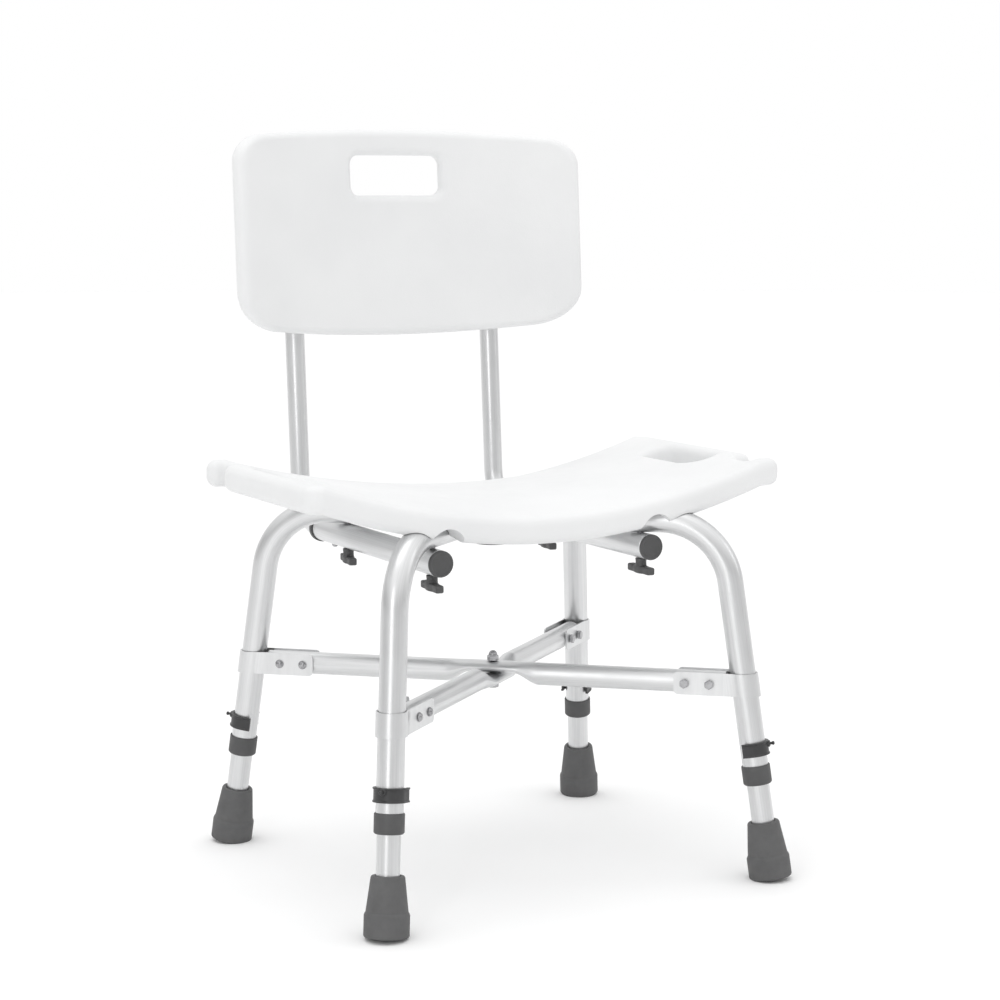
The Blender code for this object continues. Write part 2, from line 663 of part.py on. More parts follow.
def post_rod(sx, low, high, radius):
    """A rod on a post's axis between two heights."""
    foot, rise = post_foot(sx), post_direction()
    return rod(*(foot + rise * ((z - RAIL_Z) / rise.z) for z in (low, high)), radius, SIDES)


def socket_block(sx):
    """The boss behind the panel that takes a post: round at the rear and run forward into the panel."""
    outline = [(-SOCKET_RADIUS, -SOCKET_REACH), (SOCKET_RADIUS, -SOCKET_REACH)]
    outline += arc(0, 0, SOCKET_RADIUS, 0, 180, 10)
    foot, rise = post_foot(sx), post_direction()
    centres = [foot + rise * ((z - RAIL_Z) / rise.z) for z in (SOCKET_LOW, SOCKET_HIGH)]
    return loft([[centre + Vector((x, y, 0)) for x, y in outline] for centre in centres])


def make_panel(plastic):
    middle = (PANEL_TOP + PANEL_BOTTOM) / 2
    half_height = (PANEL_TOP - PANEL_BOTTOM) / 2
    x_cuts = [0.160 * i / 7 for i in range(-7, 8)]
    y_cuts = [half_height * i / 2 for i in (-1, 1)]
    bm = slab(panel_outline(half_height), PANEL_THICKNESS, 0.0080, 2, ((0, x_cuts), (1, y_cuts)))
    for vert in bm.verts:
        x, up, depth = vert.co
        edge_bow = PANEL_BOTTOM_BOW if up < 0 else PANEL_TOP_BOW
        height = middle + up + edge_bow * (x / PANEL_HALF_WIDTH) ** 2 * abs(up / half_height) ** 3
        behind, slope = panel_bend(x)
        normal = Vector((-slope, 1, 0)).normalized()
        axis_y = POST_FOOT_Y + (height - RAIL_Z) * math.tan(POST_LEAN)
        vert.co = Vector((x, axis_y + behind, height)) - normal * depth
    panel = make_object("back_panel", bm, plastic)

    for side, sx in SIDES_OF_CHAIR.items():
        boolean(panel, make_cutter(f"post_socket_{side}", socket_block(sx)), "UNION")
    reach = Matrix.Translation((0, POST_FOOT_Y, GRIP_Z)) @ Matrix.Rotation(math.radians(90), 4, "X")
    grip = prism(rounded_box(GRIP_LENGTH / 2, GRIP_HEIGHT / 2, GRIP_CORNER, 4), -0.10, 0.05)
    boolean(panel, make_cutter("cutter_grip", grip, reach))
    bores = [
        post_rod(sx, PANEL_BOTTOM - 0.03, POST_TOP_Z + 0.002, POST_RADIUS + GAP) for sx in SIDES_OF_CHAIR.values()
    ]
    boolean(panel, make_cutter("cutter_post_sockets", combine(bores)))


def floor_block():
    """Everything below the floor, to give the leaning tips a flat face to stand on."""
    return make_cutter("cutter_floor", prism([(-0.3, -0.3), (0.3, -0.3), (0.3, 0.3), (-0.3, 0.3)], -0.05, 0.0))


clear_scene()
CHAIR = bpy.data.objects.new("shower_chair", None)
CHAIR.location = (0, SEAT_CENTRE_Y, 0)
bpy.context.scene.collection.objects.link(CHAIR)

WHITE_PLASTIC = make_material("white_plastic", (0.86, 0.87, 0.87), 0.45)
GREY_PLASTIC = make_material("grey_plastic", (0.10, 0.10, 0.10), 0.55)
GREY_RUBBER = make_material("grey_rubber", (0.14, 0.14, 0.14), 0.75)
ALUMINIUM = make_material("satin_aluminium", (0.72, 0.73, 0.74), 0.32, 1.0)
STEEL = make_material("bright_steel", (0.55, 0.55, 0.56), 0.25, 1.0)

seat_bolt_holes = knob_bolt_cutter()
make_seat(WHITE_PLASTIC, seat_bolt_holes)
make_panel(WHITE_PLASTIC)
make_posts(ALUMINIUM, STEEL)
make_hoops(ALUMINIUM, seat_bolt_holes)
make_rails(ALUMINIUM, GREY_PLASTIC, seat_bolt_holes)
make_knobs(GREY_PLASTIC, STEEL)
make_hoop_joint(GREY_PLASTIC, STEEL)
make_legs(ALUMINIUM, GREY_RUBBER, GREY_PLASTIC, floor_block())
make_clips(GREY_PLASTIC)
cross_braces = make_braces(ALUMINIUM)
make_clamps(ALUMINIUM, STEEL, GREY_PLASTIC, cross_braces)
make_brace_joint(STEEL, cross_braces)
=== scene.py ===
"""Looks of the shower chair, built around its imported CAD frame.

Metres, +Z up; the sitter faces -Y. Left and right are as seen from the front: left is -X.
Places are measured from the point on the floor below the seat's centre.
make_piece moves them to the frame. Profiles are (radius, height) pairs.
"""

import math

import bmesh
import bpy
from mathutils import Matrix, Vector


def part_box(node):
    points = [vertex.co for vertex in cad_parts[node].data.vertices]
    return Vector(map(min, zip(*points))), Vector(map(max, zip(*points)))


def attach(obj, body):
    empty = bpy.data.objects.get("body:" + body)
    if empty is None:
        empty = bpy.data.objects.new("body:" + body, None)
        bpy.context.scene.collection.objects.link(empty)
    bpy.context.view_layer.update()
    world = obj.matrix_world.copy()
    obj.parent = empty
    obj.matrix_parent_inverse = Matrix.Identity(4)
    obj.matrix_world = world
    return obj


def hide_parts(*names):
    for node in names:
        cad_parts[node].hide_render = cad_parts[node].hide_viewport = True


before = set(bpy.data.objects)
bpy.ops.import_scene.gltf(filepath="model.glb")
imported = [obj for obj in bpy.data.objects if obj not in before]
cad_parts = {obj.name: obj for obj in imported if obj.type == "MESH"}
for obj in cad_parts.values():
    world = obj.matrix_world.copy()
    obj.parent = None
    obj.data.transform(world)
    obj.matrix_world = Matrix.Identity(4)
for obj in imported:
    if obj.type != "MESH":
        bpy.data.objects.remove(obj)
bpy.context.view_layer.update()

SEAT_LOW, SEAT_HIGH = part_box("seat")
HOME = Matrix.Translation((0, (SEAT_LOW.y + SEAT_HIGH.y) / 2, 0))
GAP = 0.0003
AXIS = 0.0001
FINE, SMALL = 64, 32
THREAD_PITCH = 0.001

TUBE_RADIUS, TUBE_BORE = 0.0127, 0.0113
FOOT_X, FOOT_Y = 0.2088, 0.1924
KNEE_X, KNEE_Y, KNEE_Z = 0.1758, 0.1483, 0.3520
HOOP_BEND = 0.070
LEG_END_Z = 0.0962
CROSSING_FLAT, CROSSING_ROUND = 0.022, 0.048
CROSSING_STEPS, CROSSING_WIDENING = 12, 0.30
BEND_STEPS = 28

EXTENSION_RADIUS, EXTENSION_BORE = 0.0110, 0.0096
EXTENSION_TOP = 0.1640
HOLE_PITCH, HOLE_COUNT = 0.020, 7
PIN_HEIGHT = 0.0364
PIN_RADIUS, PIN_HOLE = 0.0023, 0.0027
TIP_BASE_Z = 0.0016
TIP_HEIGHT, TIP_FLOOR = 0.056, 0.012
COLLAR_RADIUS, COLLAR_BOTTOM, COLLAR_TOP = 0.0142, -0.0023, 0.0169
CLIP_MIDDLE, CLIP_HEIGHT = 0.0332, 0.0135
CLIP_INNER, CLIP_OUTER, CLIP_REACH = 0.0130, 0.0160, 0.0089

BRACE_RADIUS, BRACE_BORE = 0.0113, 0.0099
BRACE_Z = 0.1929
BRACE_START = 0.0179
BRACE_BOLT_RADIUS, BRACE_BOLT_HOLE = 0.0030, 0.0036
STRAP_HEIGHT, STRAP_THICKNESS = 0.0225, 0.0016
STRAP_INNER, STRAP_EAR = 0.0134, 0.0116
STRAP_LENGTH = 0.0682
STRAP_BOLTS = (0.0328, 0.0574)
STRAP_BOLT_RADIUS, STRAP_BOLT_HOLE = 0.0024, 0.0029

RAIL_X, RAIL_Z = 0.1146, 0.3263
RAIL_FRONT, RAIL_REAR = -0.1137, 0.1590
KNOB_Y = RAIL_X * KNEE_Y / KNEE_X
KNOB_BOLT_RADIUS, CENTRE_BOLT_RADIUS, KNOB_BOLT_HOLE = 0.0032, 0.0031, 0.0037
KNOB_TOP = RAIL_Z - TUBE_RADIUS - GAP
KNOB_BOTTOM = 0.2983
KNOB_BAR_LENGTH, KNOB_BAR_HEIGHT = 0.0420, 0.0080
KNOB_TURNS = {"front_left": 85, "front_right": 88, "back_left": 79, "back_right": 80}

POST_RADIUS, POST_BORE = 0.0100, 0.0085
POST_FRONT = 0.1060
POST_FOOT_Y = 0.2167
POST_LEAN = math.radians(4.0)
POST_BEND = 0.048
POST_TOP_Z = 0.6380
BUTTON_Y = 0.1300
BUTTON_RADIUS, BUTTON_HOLE = 0.0033, 0.0037
BUTTON_OUT, SPRING_LEVEL, SPRING_Y = 0.0030, -0.0065, -0.0090

SEAT_HALF_WIDTH, SEAT_HALF_DEPTH = (SEAT_HIGH.x - SEAT_LOW.x) / 2, (SEAT_HIGH.y - SEAT_LOW.y) / 2
SEAT_CORNER, NOTCH_CORNER = 0.0180, 0.0100
SEAT_THICKNESS, SEAT_EDGE = 0.0270, 0.0098
SEAT_MIDDLE_Z, SEAT_RISE, SEAT_RISE_END = 0.3780, 0.0300, 0.237
SEAT_DROP, SEAT_DROP_START = 0.012, 0.060
HANDLE_X, HANDLE_WIDTH, HANDLE_LENGTH, HANDLE_CORNER = 0.2175, 0.036, 0.097, 0.016
NOTCH_Y, NOTCH_WIDTH, NOTCH_DEPTH = 0.0965, 0.030, 0.022
ARCH_X, ARCH_Z, ARCH_RADIUS = 0.1135, 0.3435, 0.0175
CHANNEL_CLEARANCE = 0.0006
HOLE_START, KNOB_HOLE_END, CENTRE_HOLE_END = RAIL_Z - 0.020, SEAT_MIDDLE_Z - 0.0015, SEAT_MIDDLE_Z - 0.0045
MOULDING_GRID, MOULDING_SHARP = 0.0062, 38

PANEL_HALF_WIDTH = 0.1979
PANEL_BOTTOM, PANEL_TOP = 0.5203, 0.7368
PANEL_THICKNESS, PANEL_EDGE = 0.0185, 0.0080
PANEL_BOW, PANEL_AHEAD = 0.052, 0.0102
PANEL_BOTTOM_BOW, PANEL_TOP_BOW = 0.0138, -0.0097
PANEL_TOP_CORNER, PANEL_BOTTOM_CORNER = 0.0328, 0.0476
GRIP_Z, GRIP_LENGTH, GRIP_HEIGHT, GRIP_CORNER = 0.6888, 0.105, 0.042, 0.010
SOCKET_RADIUS, SOCKET_REACH = 0.0134, 0.028
SOCKET_LOW, SOCKET_HIGH = 0.536, 0.650

VIEW_AZIMUTH, VIEW_DROP = 27.89, 7.23
CAMERA_PLACE = Vector((-1.0978, -2.11785, 0.67302))
CAMERA_LENS, CAMERA_SENSOR, CAMERA_SHIFT = 86.84, 36, (-0.0132, -0.0036)
FLOOR_RADIUS, FLOOR_THICKNESS = 14, 0.02
# The studio round the camera: (position from behind the camera to ahead of it, grey), then by height.
WALLS = ((0, 0.58), (0.30, 0.56), (0.50, 0.38), (0.72, 0.60), (0.9, 1.0))
SKY, SKY_START = ((0.2, 0.90), (0.55, 1.02), (1, 1.30)), ((0.16, 0), (0.45, 1))

CORNERS = {
    "front_left": (-1, -1),
    "front_right": (1, -1),
    "back_left": (-1, 1),
    "back_right": (1, 1),
}
SIDES_OF_CHAIR = {"left": -1, "right": 1}
# The tubes that run from corner to corner, and whether each passes over or under the other.
DIAGONALS = {
    "upper": (CORNERS["back_left"], CORNERS["front_right"], 1),
    "lower": (CORNERS["front_left"], CORNERS["back_right"], -1),
}
X, Y, UP = Vector((1, 0, 0)), Vector((0, 1, 0)), Vector((0, 0, 1))


# Materials


NOISE_RANGE = (0.3, 0.7)  # what a noise texture mostly gives


class Nodes:
    """Builds a material's node tree with short calls."""

    def __init__(self, name):
        self.material = bpy.data.materials.new(name)
        self.material.use_nodes = True
        self.tree = self.material.node_tree
        self.shader = self.tree.nodes["Principled BSDF"]

    def add(self, kind, sockets=None, **settings):
        node = self.tree.nodes.new(kind)
        for key, value in settings.items():
            setattr(node, key, value)
        for key, value in (sockets or {}).items():
            node.inputs[key].default_value = value
        return node

    def link(self, start, end):
        self.tree.links.new(start, end)

    def coordinates(self, scale, on_surface=False):
        """Texture coordinates in metres, times scale: in space, or round and along the surface."""
        if on_surface:
            place = self.add("ShaderNodeUVMap", uv_map="UVMap").outputs["UV"]
        else:
            place = self.add("ShaderNodeTexCoord").outputs["Object"]
        mapping = self.add("ShaderNodeMapping", {"Scale": scale})
        self.link(place, mapping.inputs["Vector"])
        return mapping.outputs["Vector"]

    def noise(self, vector, detail=3.0, roughness=0.5, scale=1.0):
        node = self.add("ShaderNodeTexNoise", {"Scale": scale, "Detail": detail, "Roughness": roughness})
        self.link(vector, node.inputs["Vector"])
        return node.outputs["Fac"]

    def ramp(self, value, low, high):
        """Maps a noise value to between two numbers."""
        start, end = NOISE_RANGE
        span = {"From Min": start, "From Max": end, "To Min": low, "To Max": high}
        node = self.add("ShaderNodeMapRange", span)
        self.link(value, node.inputs["Value"])
        return node.outputs["Result"]

    def colour(self, value, dark, light):
        """Maps a noise value to between two colours."""
        node = self.add("ShaderNodeValToRGB")
        for element, position, tint in zip(node.color_ramp.elements, NOISE_RANGE, (dark, light)):
            element.position, element.color = position, (*tint, 1)
        self.link(value, node.inputs["Fac"])
        return node.outputs["Color"]

    def bumps(self, layers):
        """Chains (height, strength, distance) layers of bump into the shader's normal."""
        normal = None
        for height, strength, distance in layers:
            bump = self.add("ShaderNodeBump", {"Strength": strength, "Distance": distance})
            self.link(height, bump.inputs["Height"])
            if normal:
                self.link(normal, bump.inputs["Normal"])
            normal = bump.outputs["Normal"]
        self.link(normal, self.shader.inputs["Normal"])


def moulded_plastic():
    """White blow-moulded polyethylene: a fine pebbled grain over faint waves, with a soft sheen."""
    made = Nodes("white_plastic")
    broad = made.noise(made.coordinates((9, 9, 9)), 2)
    grain = made.noise(made.coordinates((1, 1, 1)), 2, 0.55, 620)
    pebbles = made.add("ShaderNodeTexVoronoi", {"Scale": 780, "Smoothness": 0.6}, feature="SMOOTH_F1")
    made.link(made.coordinates((1, 1, 1)), pebbles.inputs["Vector"])
    scuffs = made.noise(made.coordinates((60, 60, 60)), 5, 0.65)
    white = made.colour(broad, (0.762, 0.766, 0.770), (0.800, 0.804, 0.806))
    made.link(white, made.shader.inputs["Base Color"])
    made.link(made.ramp(scuffs, 0.40, 0.56), made.shader.inputs["Roughness"])
    made.shader.inputs["Specular IOR Level"].default_value = 0.42
    made.bumps([(broad, 0.25, 0.0016), (pebbles.outputs["Distance"], 0.20, 0.00018), (grain, 0.22, 0.00016)])
    return made.material


def drawn_aluminium():
    """Satin anodised tube: streaks along the tube from drawing, with patches that are a little duller."""
    made = Nodes("satin_aluminium")
    streaks = made.noise(made.coordinates((900, 7, 1), on_surface=True), 4, 0.6)
    fine = made.noise(made.coordinates((4200, 30, 1), on_surface=True), 3, 0.6)
    patches = made.noise(made.coordinates((22, 22, 22)), 4, 0.6)
    metal = made.colour(streaks, (0.640, 0.645, 0.650), (0.735, 0.738, 0.741))
    made.link(metal, made.shader.inputs["Base Color"])
    made.link(made.ramp(patches, 0.29, 0.42), made.shader.inputs["Roughness"])
    made.shader.inputs["Metallic"].default_value = 1.0
    made.bumps([(streaks, 0.10, 0.00008), (fine, 0.16, 0.00004)])
    return made.material


def bright_steel():
    """Bright plated fasteners, with fine turning marks and a faint haze."""
    made = Nodes("bright_steel")
    haze = made.noise(made.coordinates((180, 180, 180)), 4, 0.6)
    marks = made.noise(made.coordinates((2600, 2600, 2600)), 2, 0.5)
    made.link(made.colour(haze, (0.30, 0.30, 0.31), (0.46, 0.46, 0.47)), made.shader.inputs["Base Color"])
    made.link(made.ramp(haze, 0.12, 0.26), made.shader.inputs["Roughness"])
    made.shader.inputs["Metallic"].default_value = 1.0
    made.bumps([(marks, 0.12, 0.00005)])
    return made.material


def dark_moulding(name, dark, light, roughness, grain_scale, grain_depth):
    """Matt dark plastic or rubber with a fine moulded grain and paler rubbed patches."""
    made = Nodes(name)
    rubbed = made.noise(made.coordinates((45, 45, 45)), 5, 0.62)
    grain = made.noise(made.coordinates((1, 1, 1)), 3, 0.55, grain_scale)
    flow = made.noise(made.coordinates((160, 160, 160)), 3, 0.5)
    made.link(made.colour(rubbed, dark, light), made.shader.inputs["Base Color"])
    made.link(made.ramp(flow, roughness - 0.07, roughness + 0.07), made.shader.inputs["Roughness"])
    made.bumps([(flow, 0.12, 0.0003), (grain, 0.30, grain_depth)])
    return made.material


WHITE_PLASTIC = moulded_plastic()
ALUMINIUM = drawn_aluminium()
STEEL = bright_steel()
GREY_PLASTIC = dark_moulding("grey_plastic", (0.068, 0.068, 0.069), (0.084, 0.084, 0.085), 0.55, 900, 0.00010)
CLIP_PLASTIC = dark_moulding("clip_plastic", (0.028, 0.028, 0.029), (0.040, 0.040, 0.041), 0.42, 900, 0.00008)
GREY_RUBBER = dark_moulding("grey_rubber", (0.095, 0.095, 0.096), (0.116, 0.116, 0.117), 0.70, 700, 0.00016)


# Shapes


def ring(centre, tangent, side, half_side, half_other=None, sides=FINE):
    """Points of an ellipse around a path; side is a direction across the path."""
    across = (side - tangent * side.dot(tangent)).normalized()
    other = tangent.cross(across)
    half_other = half_side if half_other is None else half_other
    angles = [2 * math.pi * (i + 0.5) / sides for i in range(sides)]
    return [centre + across * half_side * math.cos(a) + other * half_other * math.sin(a) for a in angles]


def skin(rings, closed=False):
    """Skins rings of equal length. UVs are metres round and along, for the drawn grain of the metal."""
    bm = bmesh.new()
    uv = bm.loops.layers.uv.new("UVMap")
    loops = [[bm.verts.new(point) for point in points] for points in rings]
    count = len(rings[0])
    around = sum((rings[0][i] - rings[0][i - 1]).length for i in range(count)) / count
    along = 0.0
    pairs = list(zip(range(len(rings)), range(1, len(rings))))
    if closed:
        pairs.append((len(rings) - 1, 0))
    for low, high in pairs:
        step = sum((a - b).length for a, b in zip(rings[low], rings[high])) / count
        for i in range(count):
            j = (i + 1) % count
            face = bm.faces.new((loops[low][i], loops[low][j], loops[high][j], loops[high][i]))
            corners = ((i, 0), (i + 1, 0), (i + 1, step), (i, step))
            for loop, (turn, rise) in zip(face.loops, corners):
                loop[uv].uv = (turn * around, along + rise)
        along += step
    if not closed:
        bm.faces.new(loops[0])
        bm.faces.new(loops[-1])
    bmesh.ops.recalc_face_normals(bm, faces=bm.faces)
    return bm


def softened(profile, radius):
    """A profile of (radius, height) pairs with each corner rounded by an arc of about this radius."""
    steps = 4
    rounded = [profile[0]]
    for before, corner, after in zip(profile, profile[1:], profile[2:]):
        a, b, c = Vector(before), Vector(corner), Vector(after)
        reach = min(radius, (a - b).length * 0.45, (c - b).length * 0.45)
        start, end = b + (a - b).normalized() * reach, b + (c - b).normalized() * reach
        for step in range(steps + 1):
            t = step / steps
            point = start * (1 - t) ** 2 + b * 2 * t * (1 - t) + end * t * t
            rounded.append((point.x, point.y))
    return rounded + [profile[-1]]


def turned(profile, closed=False, sides=FINE, soft=0.0004):
    """A body of revolution about Z from (radius, height) pairs, with soft corners."""
    if soft and closed:
        profile = softened([profile[-1], *profile, profile[0]], soft)[1:-1]
    elif soft:
        profile = softened(profile, soft)
    rings = [ring(Vector((0, 0, z)), UP, X, r, sides=sides) for r, z in profile]
    return skin(rings, closed)


def turned_along(profile, axis, side, origin, soft=0.0002):
    """The same about another axis, from (radius, distance) pairs, capped."""
    return skin([ring(origin + axis * d, axis, side, r, sides=SMALL) for r, d in softened(profile, soft)])


def prism(outline, low, high):
    """Extrudes a flat outline of (x, y) along Z."""
    return skin([[Vector((x, y, z)) for x, y in outline] for z in (low, high)])


def arc(centre_x, centre_y, radius, start, end, steps):
    """Points of an arc, in degrees, both ends included."""
    angles = [math.radians(start + (end - start) * i / steps) for i in range(steps + 1)]
    return [(centre_x + radius * math.cos(a), centre_y + radius * math.sin(a)) for a in angles]


def rounded_box(half_x, half_y, radius, steps=12):
    """A rectangle with round corners, about the origin, anticlockwise."""
    outline = []
    for sx, sy, start in ((1, 1, 0), (-1, 1, 90), (-1, -1, 180), (1, -1, 270)):
        outline += arc(sx * (half_x - radius), sy * (half_y - radius), radius, start, start + 90, steps)
    return outline


def rod(start, end, radius, sides=SMALL):
    direction = (end - start).normalized()
    side = direction.orthogonal()
    return skin([ring(point, direction, side, radius, sides=sides) for point in (start, end)])


def moved(bm, matrix):
    bmesh.ops.transform(bm, matrix=matrix, verts=bm.verts)
    return bm


def combine(parts):
    """Joins separate bmeshes into one."""
    whole = bmesh.new()
    whole.loops.layers.uv.new("UVMap")
    for bm in parts:
        mesh = bpy.data.meshes.new("part")
        bm.to_mesh(mesh)
        bm.free()
        whole.from_mesh(mesh)
        bpy.data.meshes.remove(mesh)
    return whole


def to_object(name, bm):
    mesh = bpy.data.meshes.new(name)
    bm.to_mesh(mesh)
    bm.free()
    obj = bpy.data.objects.new(name, mesh)
    bpy.context.scene.collection.objects.link(obj)
    return obj


def carve(bm, cutters, operation="DIFFERENCE"):
    """Applies exact Booleans to a bmesh, one cutter after another, and returns the result."""
    for cutter in cutters:
        body, tool = to_object("body", bm), to_object("tool", cutter)
        modifier = body.modifiers.new("cut", "BOOLEAN")
        modifier.operation, modifier.object, modifier.solver = operation, tool, "EXACT"
        result = bpy.data.meshes.new_from_object(body.evaluated_get(bpy.context.evaluated_depsgraph_get()))
        bm = bmesh.new()
        bm.from_mesh(result)
        for obj in (body, tool):
            mesh = obj.data
            bpy.data.objects.remove(obj)
            bpy.data.meshes.remove(mesh)
        bpy.data.meshes.remove(result)
    return bm


def make_piece(name, bm, material, body, nodes, place=None, sharp=32):
    """Puts a finished shape into the scene for these CAD nodes."""
    moved(bm, HOME @ (place or Matrix.Identity(4)))
    piece = to_object(name, bm)
    piece.data.materials.clear()
    piece.data.materials.append(material)
    piece.data.shade_smooth()
    piece.data.set_sharp_from_angle(angle=math.radians(sharp))
    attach(piece, body)
    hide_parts(*nodes)


def rounded_path(corners, radius):
    """(point, tangent) along straight runs joined by arcs of one radius."""
    direction = (corners[1] - corners[0]).normalized()
    stations = [(corners[0], direction)]
    for corner, after in zip(corners[1:], corners[2:]):
        leave = (after - corner).normalized()
        angle = direction.angle(leave)
        axis = direction.cross(leave).normalized()
        start = corner - direction * radius * math.tan(angle / 2)
        centre = start + axis.cross(direction) * radius
        for step in range(BEND_STEPS + 1):
            turn = Matrix.Rotation(angle * step / BEND_STEPS, 3, axis)
            stations.append((centre + turn @ (start - centre), turn @ direction))
        direction = leave
    stations.append((corners[-1], direction))
    return stations


def hollow(stations, radius, bore):
    """An open tube along stations of (point, tangent), all at right angles to X, with deburred ends."""
    burr = 0.00035
    (first, start), (last, end) = stations[0], stations[-1]
    outer = [ring(first, start, X, radius - burr), ring(first + start * burr, start, X, radius)]
    outer += [ring(point, tangent, X, radius) for point, tangent in stations[1:-1]]
    outer += [ring(last - end * burr, end, X, radius), ring(last, end, X, radius - burr)]
    inner = [ring(point, tangent, X, bore) for point, tangent in stations]
    return skin(outer + inner[::-1], closed=True)


def leg_axis(sx, sy):
    """The leg's upward direction."""
    knee = Vector((sx * KNEE_X, sy * KNEE_Y, KNEE_Z))
    return (knee - Vector((sx * FOOT_X, sy * FOOT_Y, 0))).normalized()


def leg_point(sx, sy, height):
    """The point of the leg's axis at this height above the floor."""
    axis = leg_axis(sx, sy)
    return Vector((sx * FOOT_X, sy * FOOT_Y, 0)) + axis * (height / axis.z)


def leg_frame(sx, sy):
    """A matrix at the hoop's lower end; +Z is up the leg and +X points out along the diagonal."""
    axis = leg_axis(sx, sy)
    outwards = Vector((sx * KNEE_X, sy * KNEE_Y, 0))
    across = (outwards - axis * outwards.dot(axis)).normalized()
    rotation = Matrix((across, axis.cross(across), axis)).transposed()
    return Matrix.Translation(leg_point(sx, sy, LEG_END_Z)) @ rotation.to_4x4()


def flattened_rings(stations, side, radius, trim, middle, half_height):
    """Rings along a tube that is pressed flat near the middle of its horizontal run."""
    rings = []
    for point, tangent in stations:
        reach = math.hypot(point.x, point.y)
        flatness = 1 - min(max((reach - CROSSING_FLAT) / (CROSSING_ROUND - CROSSING_FLAT), 0), 1)
        flatness = flatness * flatness * (3 - 2 * flatness)
        tall = radius + (half_height - radius) * flatness
        wide = radius * (1 + CROSSING_WIDENING * flatness)
        rings.append(ring(point + UP * middle * flatness, tangent, side, wide - trim, tall - trim))
    return rings


def crossing_stations(start, end):
    """Stations of a straight run through the crossing, close together where it is pressed flat."""
    direction = (end - start).normalized()
    middle = (start + end) / 2
    span, steps = CROSSING_ROUND - CROSSING_FLAT, CROSSING_STEPS
    reaches = [CROSSING_ROUND - span * i / steps for i in range(steps + 1)]
    offsets = [-reach for reach in reaches] + [0] + reaches[::-1]
    return [(middle + direction * offset, direction) for offset in offsets]


def hoop_rings(first, second, trim, level):
    """Rings of one hoop from the first leg's end, over the middle, to the second leg's end."""
    knees = [Vector((sx * KNEE_X, sy * KNEE_Y, KNEE_Z)) for sx, sy in (first, second)]
    corners = [leg_point(*first, LEG_END_Z), *knees, leg_point(*second, LEG_END_Z)]
    bends = rounded_path(corners, HOOP_BEND)
    half = len(bends) // 2
    stations = bends[:half] + crossing_stations(*knees) + bends[half:]
    side = (knees[1] - knees[0]).normalized().cross(UP)
    flat = TUBE_RADIUS / 2 - GAP / 2
    return flattened_rings(stations, side, TUBE_RADIUS, trim, level * TUBE_RADIUS / 2, flat)


def knob_place(sx, sy):
    return Vector((sx * RAIL_X, sy * KNOB_Y, 0))


def seat_bolt_holes():
    """Blind holes for the four knob bolts and the centre bolt, through what lies below the seat's face."""
    places = [(knob_place(*signs), KNOB_HOLE_END) for signs in CORNERS.values()]
    places.append((Vector(), CENTRE_HOLE_END))
    return combine([rod(place + UP * HOLE_START, place + UP * top, KNOB_BOLT_HOLE) for place, top in places])


def pin_holes(heights):
    """Cutters through the outer side of a leg's tubes, in the leg's frame."""
    past = 0.004
    inner, outer = X * (EXTENSION_BORE - past), X * (TUBE_RADIUS + past)
    return combine([rod(inner + UP * z, outer + UP * z, PIN_HOLE) for z in heights])


def moulding(outlines, thickness, edge):
    """A plate about z = 0 from an outer outline and holes, with every edge rounded, cut into a fine grid.

    Every corner of an outline is rounder than the edge, or the edge's curve would cross itself.
    """
    any_angle = 3.14
    curve = bpy.data.curves.new("moulding", "CURVE")
    curve.dimensions, curve.fill_mode = "2D", "BOTH"
    curve.extrude, curve.bevel_depth, curve.bevel_resolution = thickness / 2 - edge, edge, 6
    curve.offset = -edge
    for outline in outlines:
        spline = curve.splines.new("POLY")
        spline.points.add(len(outline) - 1)
        spline.use_cyclic_u = True
        for point, (x, y) in zip(spline.points, outline):
            point.co = (x, y, 0, 1)
    obj = bpy.data.objects.new("moulding", curve)
    bpy.context.scene.collection.objects.link(obj)
    mesh = bpy.data.meshes.new_from_object(obj.evaluated_get(bpy.context.evaluated_depsgraph_get()))
    bm = bmesh.new()
    bm.from_mesh(mesh)
    bpy.data.objects.remove(obj)
    bpy.data.curves.remove(curve)
    bpy.data.meshes.remove(mesh)
    bmesh.ops.remove_doubles(bm, verts=bm.verts, dist=2e-6)
    flat = [f for f in bm.faces if abs(f.normal.z) > 0.999]
    bmesh.ops.join_triangles(
        bm, faces=flat, cmp_seam=False, angle_face_threshold=any_angle, angle_shape_threshold=any_angle
    )
    for axis in (0, 1):
        values = [v.co[axis] for v in bm.verts]
        normal = Vector([float(i == axis) for i in range(3)])
        steps = int((max(values) - min(values)) / MOULDING_GRID)
        for i in range(-(steps // 2), steps // 2 + 1):
            everything = bm.verts[:] + bm.edges[:] + bm.faces[:]
            place = normal * (i * MOULDING_GRID)
            bmesh.ops.bisect_plane(bm, geom=everything, plane_co=place, plane_no=normal, dist=1e-6)
    bmesh.ops.recalc_face_normals(bm, faces=bm.faces)
    bm.loops.layers.uv.new("UVMap")
    return bm


# The seat


def seat_height(x, y):
    """The height of the seat's upper face: it rises to the sides and falls at the front and back."""
    across = min(abs(x), SEAT_RISE_END) / SEAT_RISE_END
    t = min(max((abs(y) - SEAT_DROP_START) / (SEAT_HALF_DEPTH - SEAT_DROP_START), 0), 1)
    fall = SEAT_DROP * (1 - across * across) * t * t * (3 - 2 * t)
    return SEAT_MIDDLE_Z + SEAT_RISE * across * across - fall


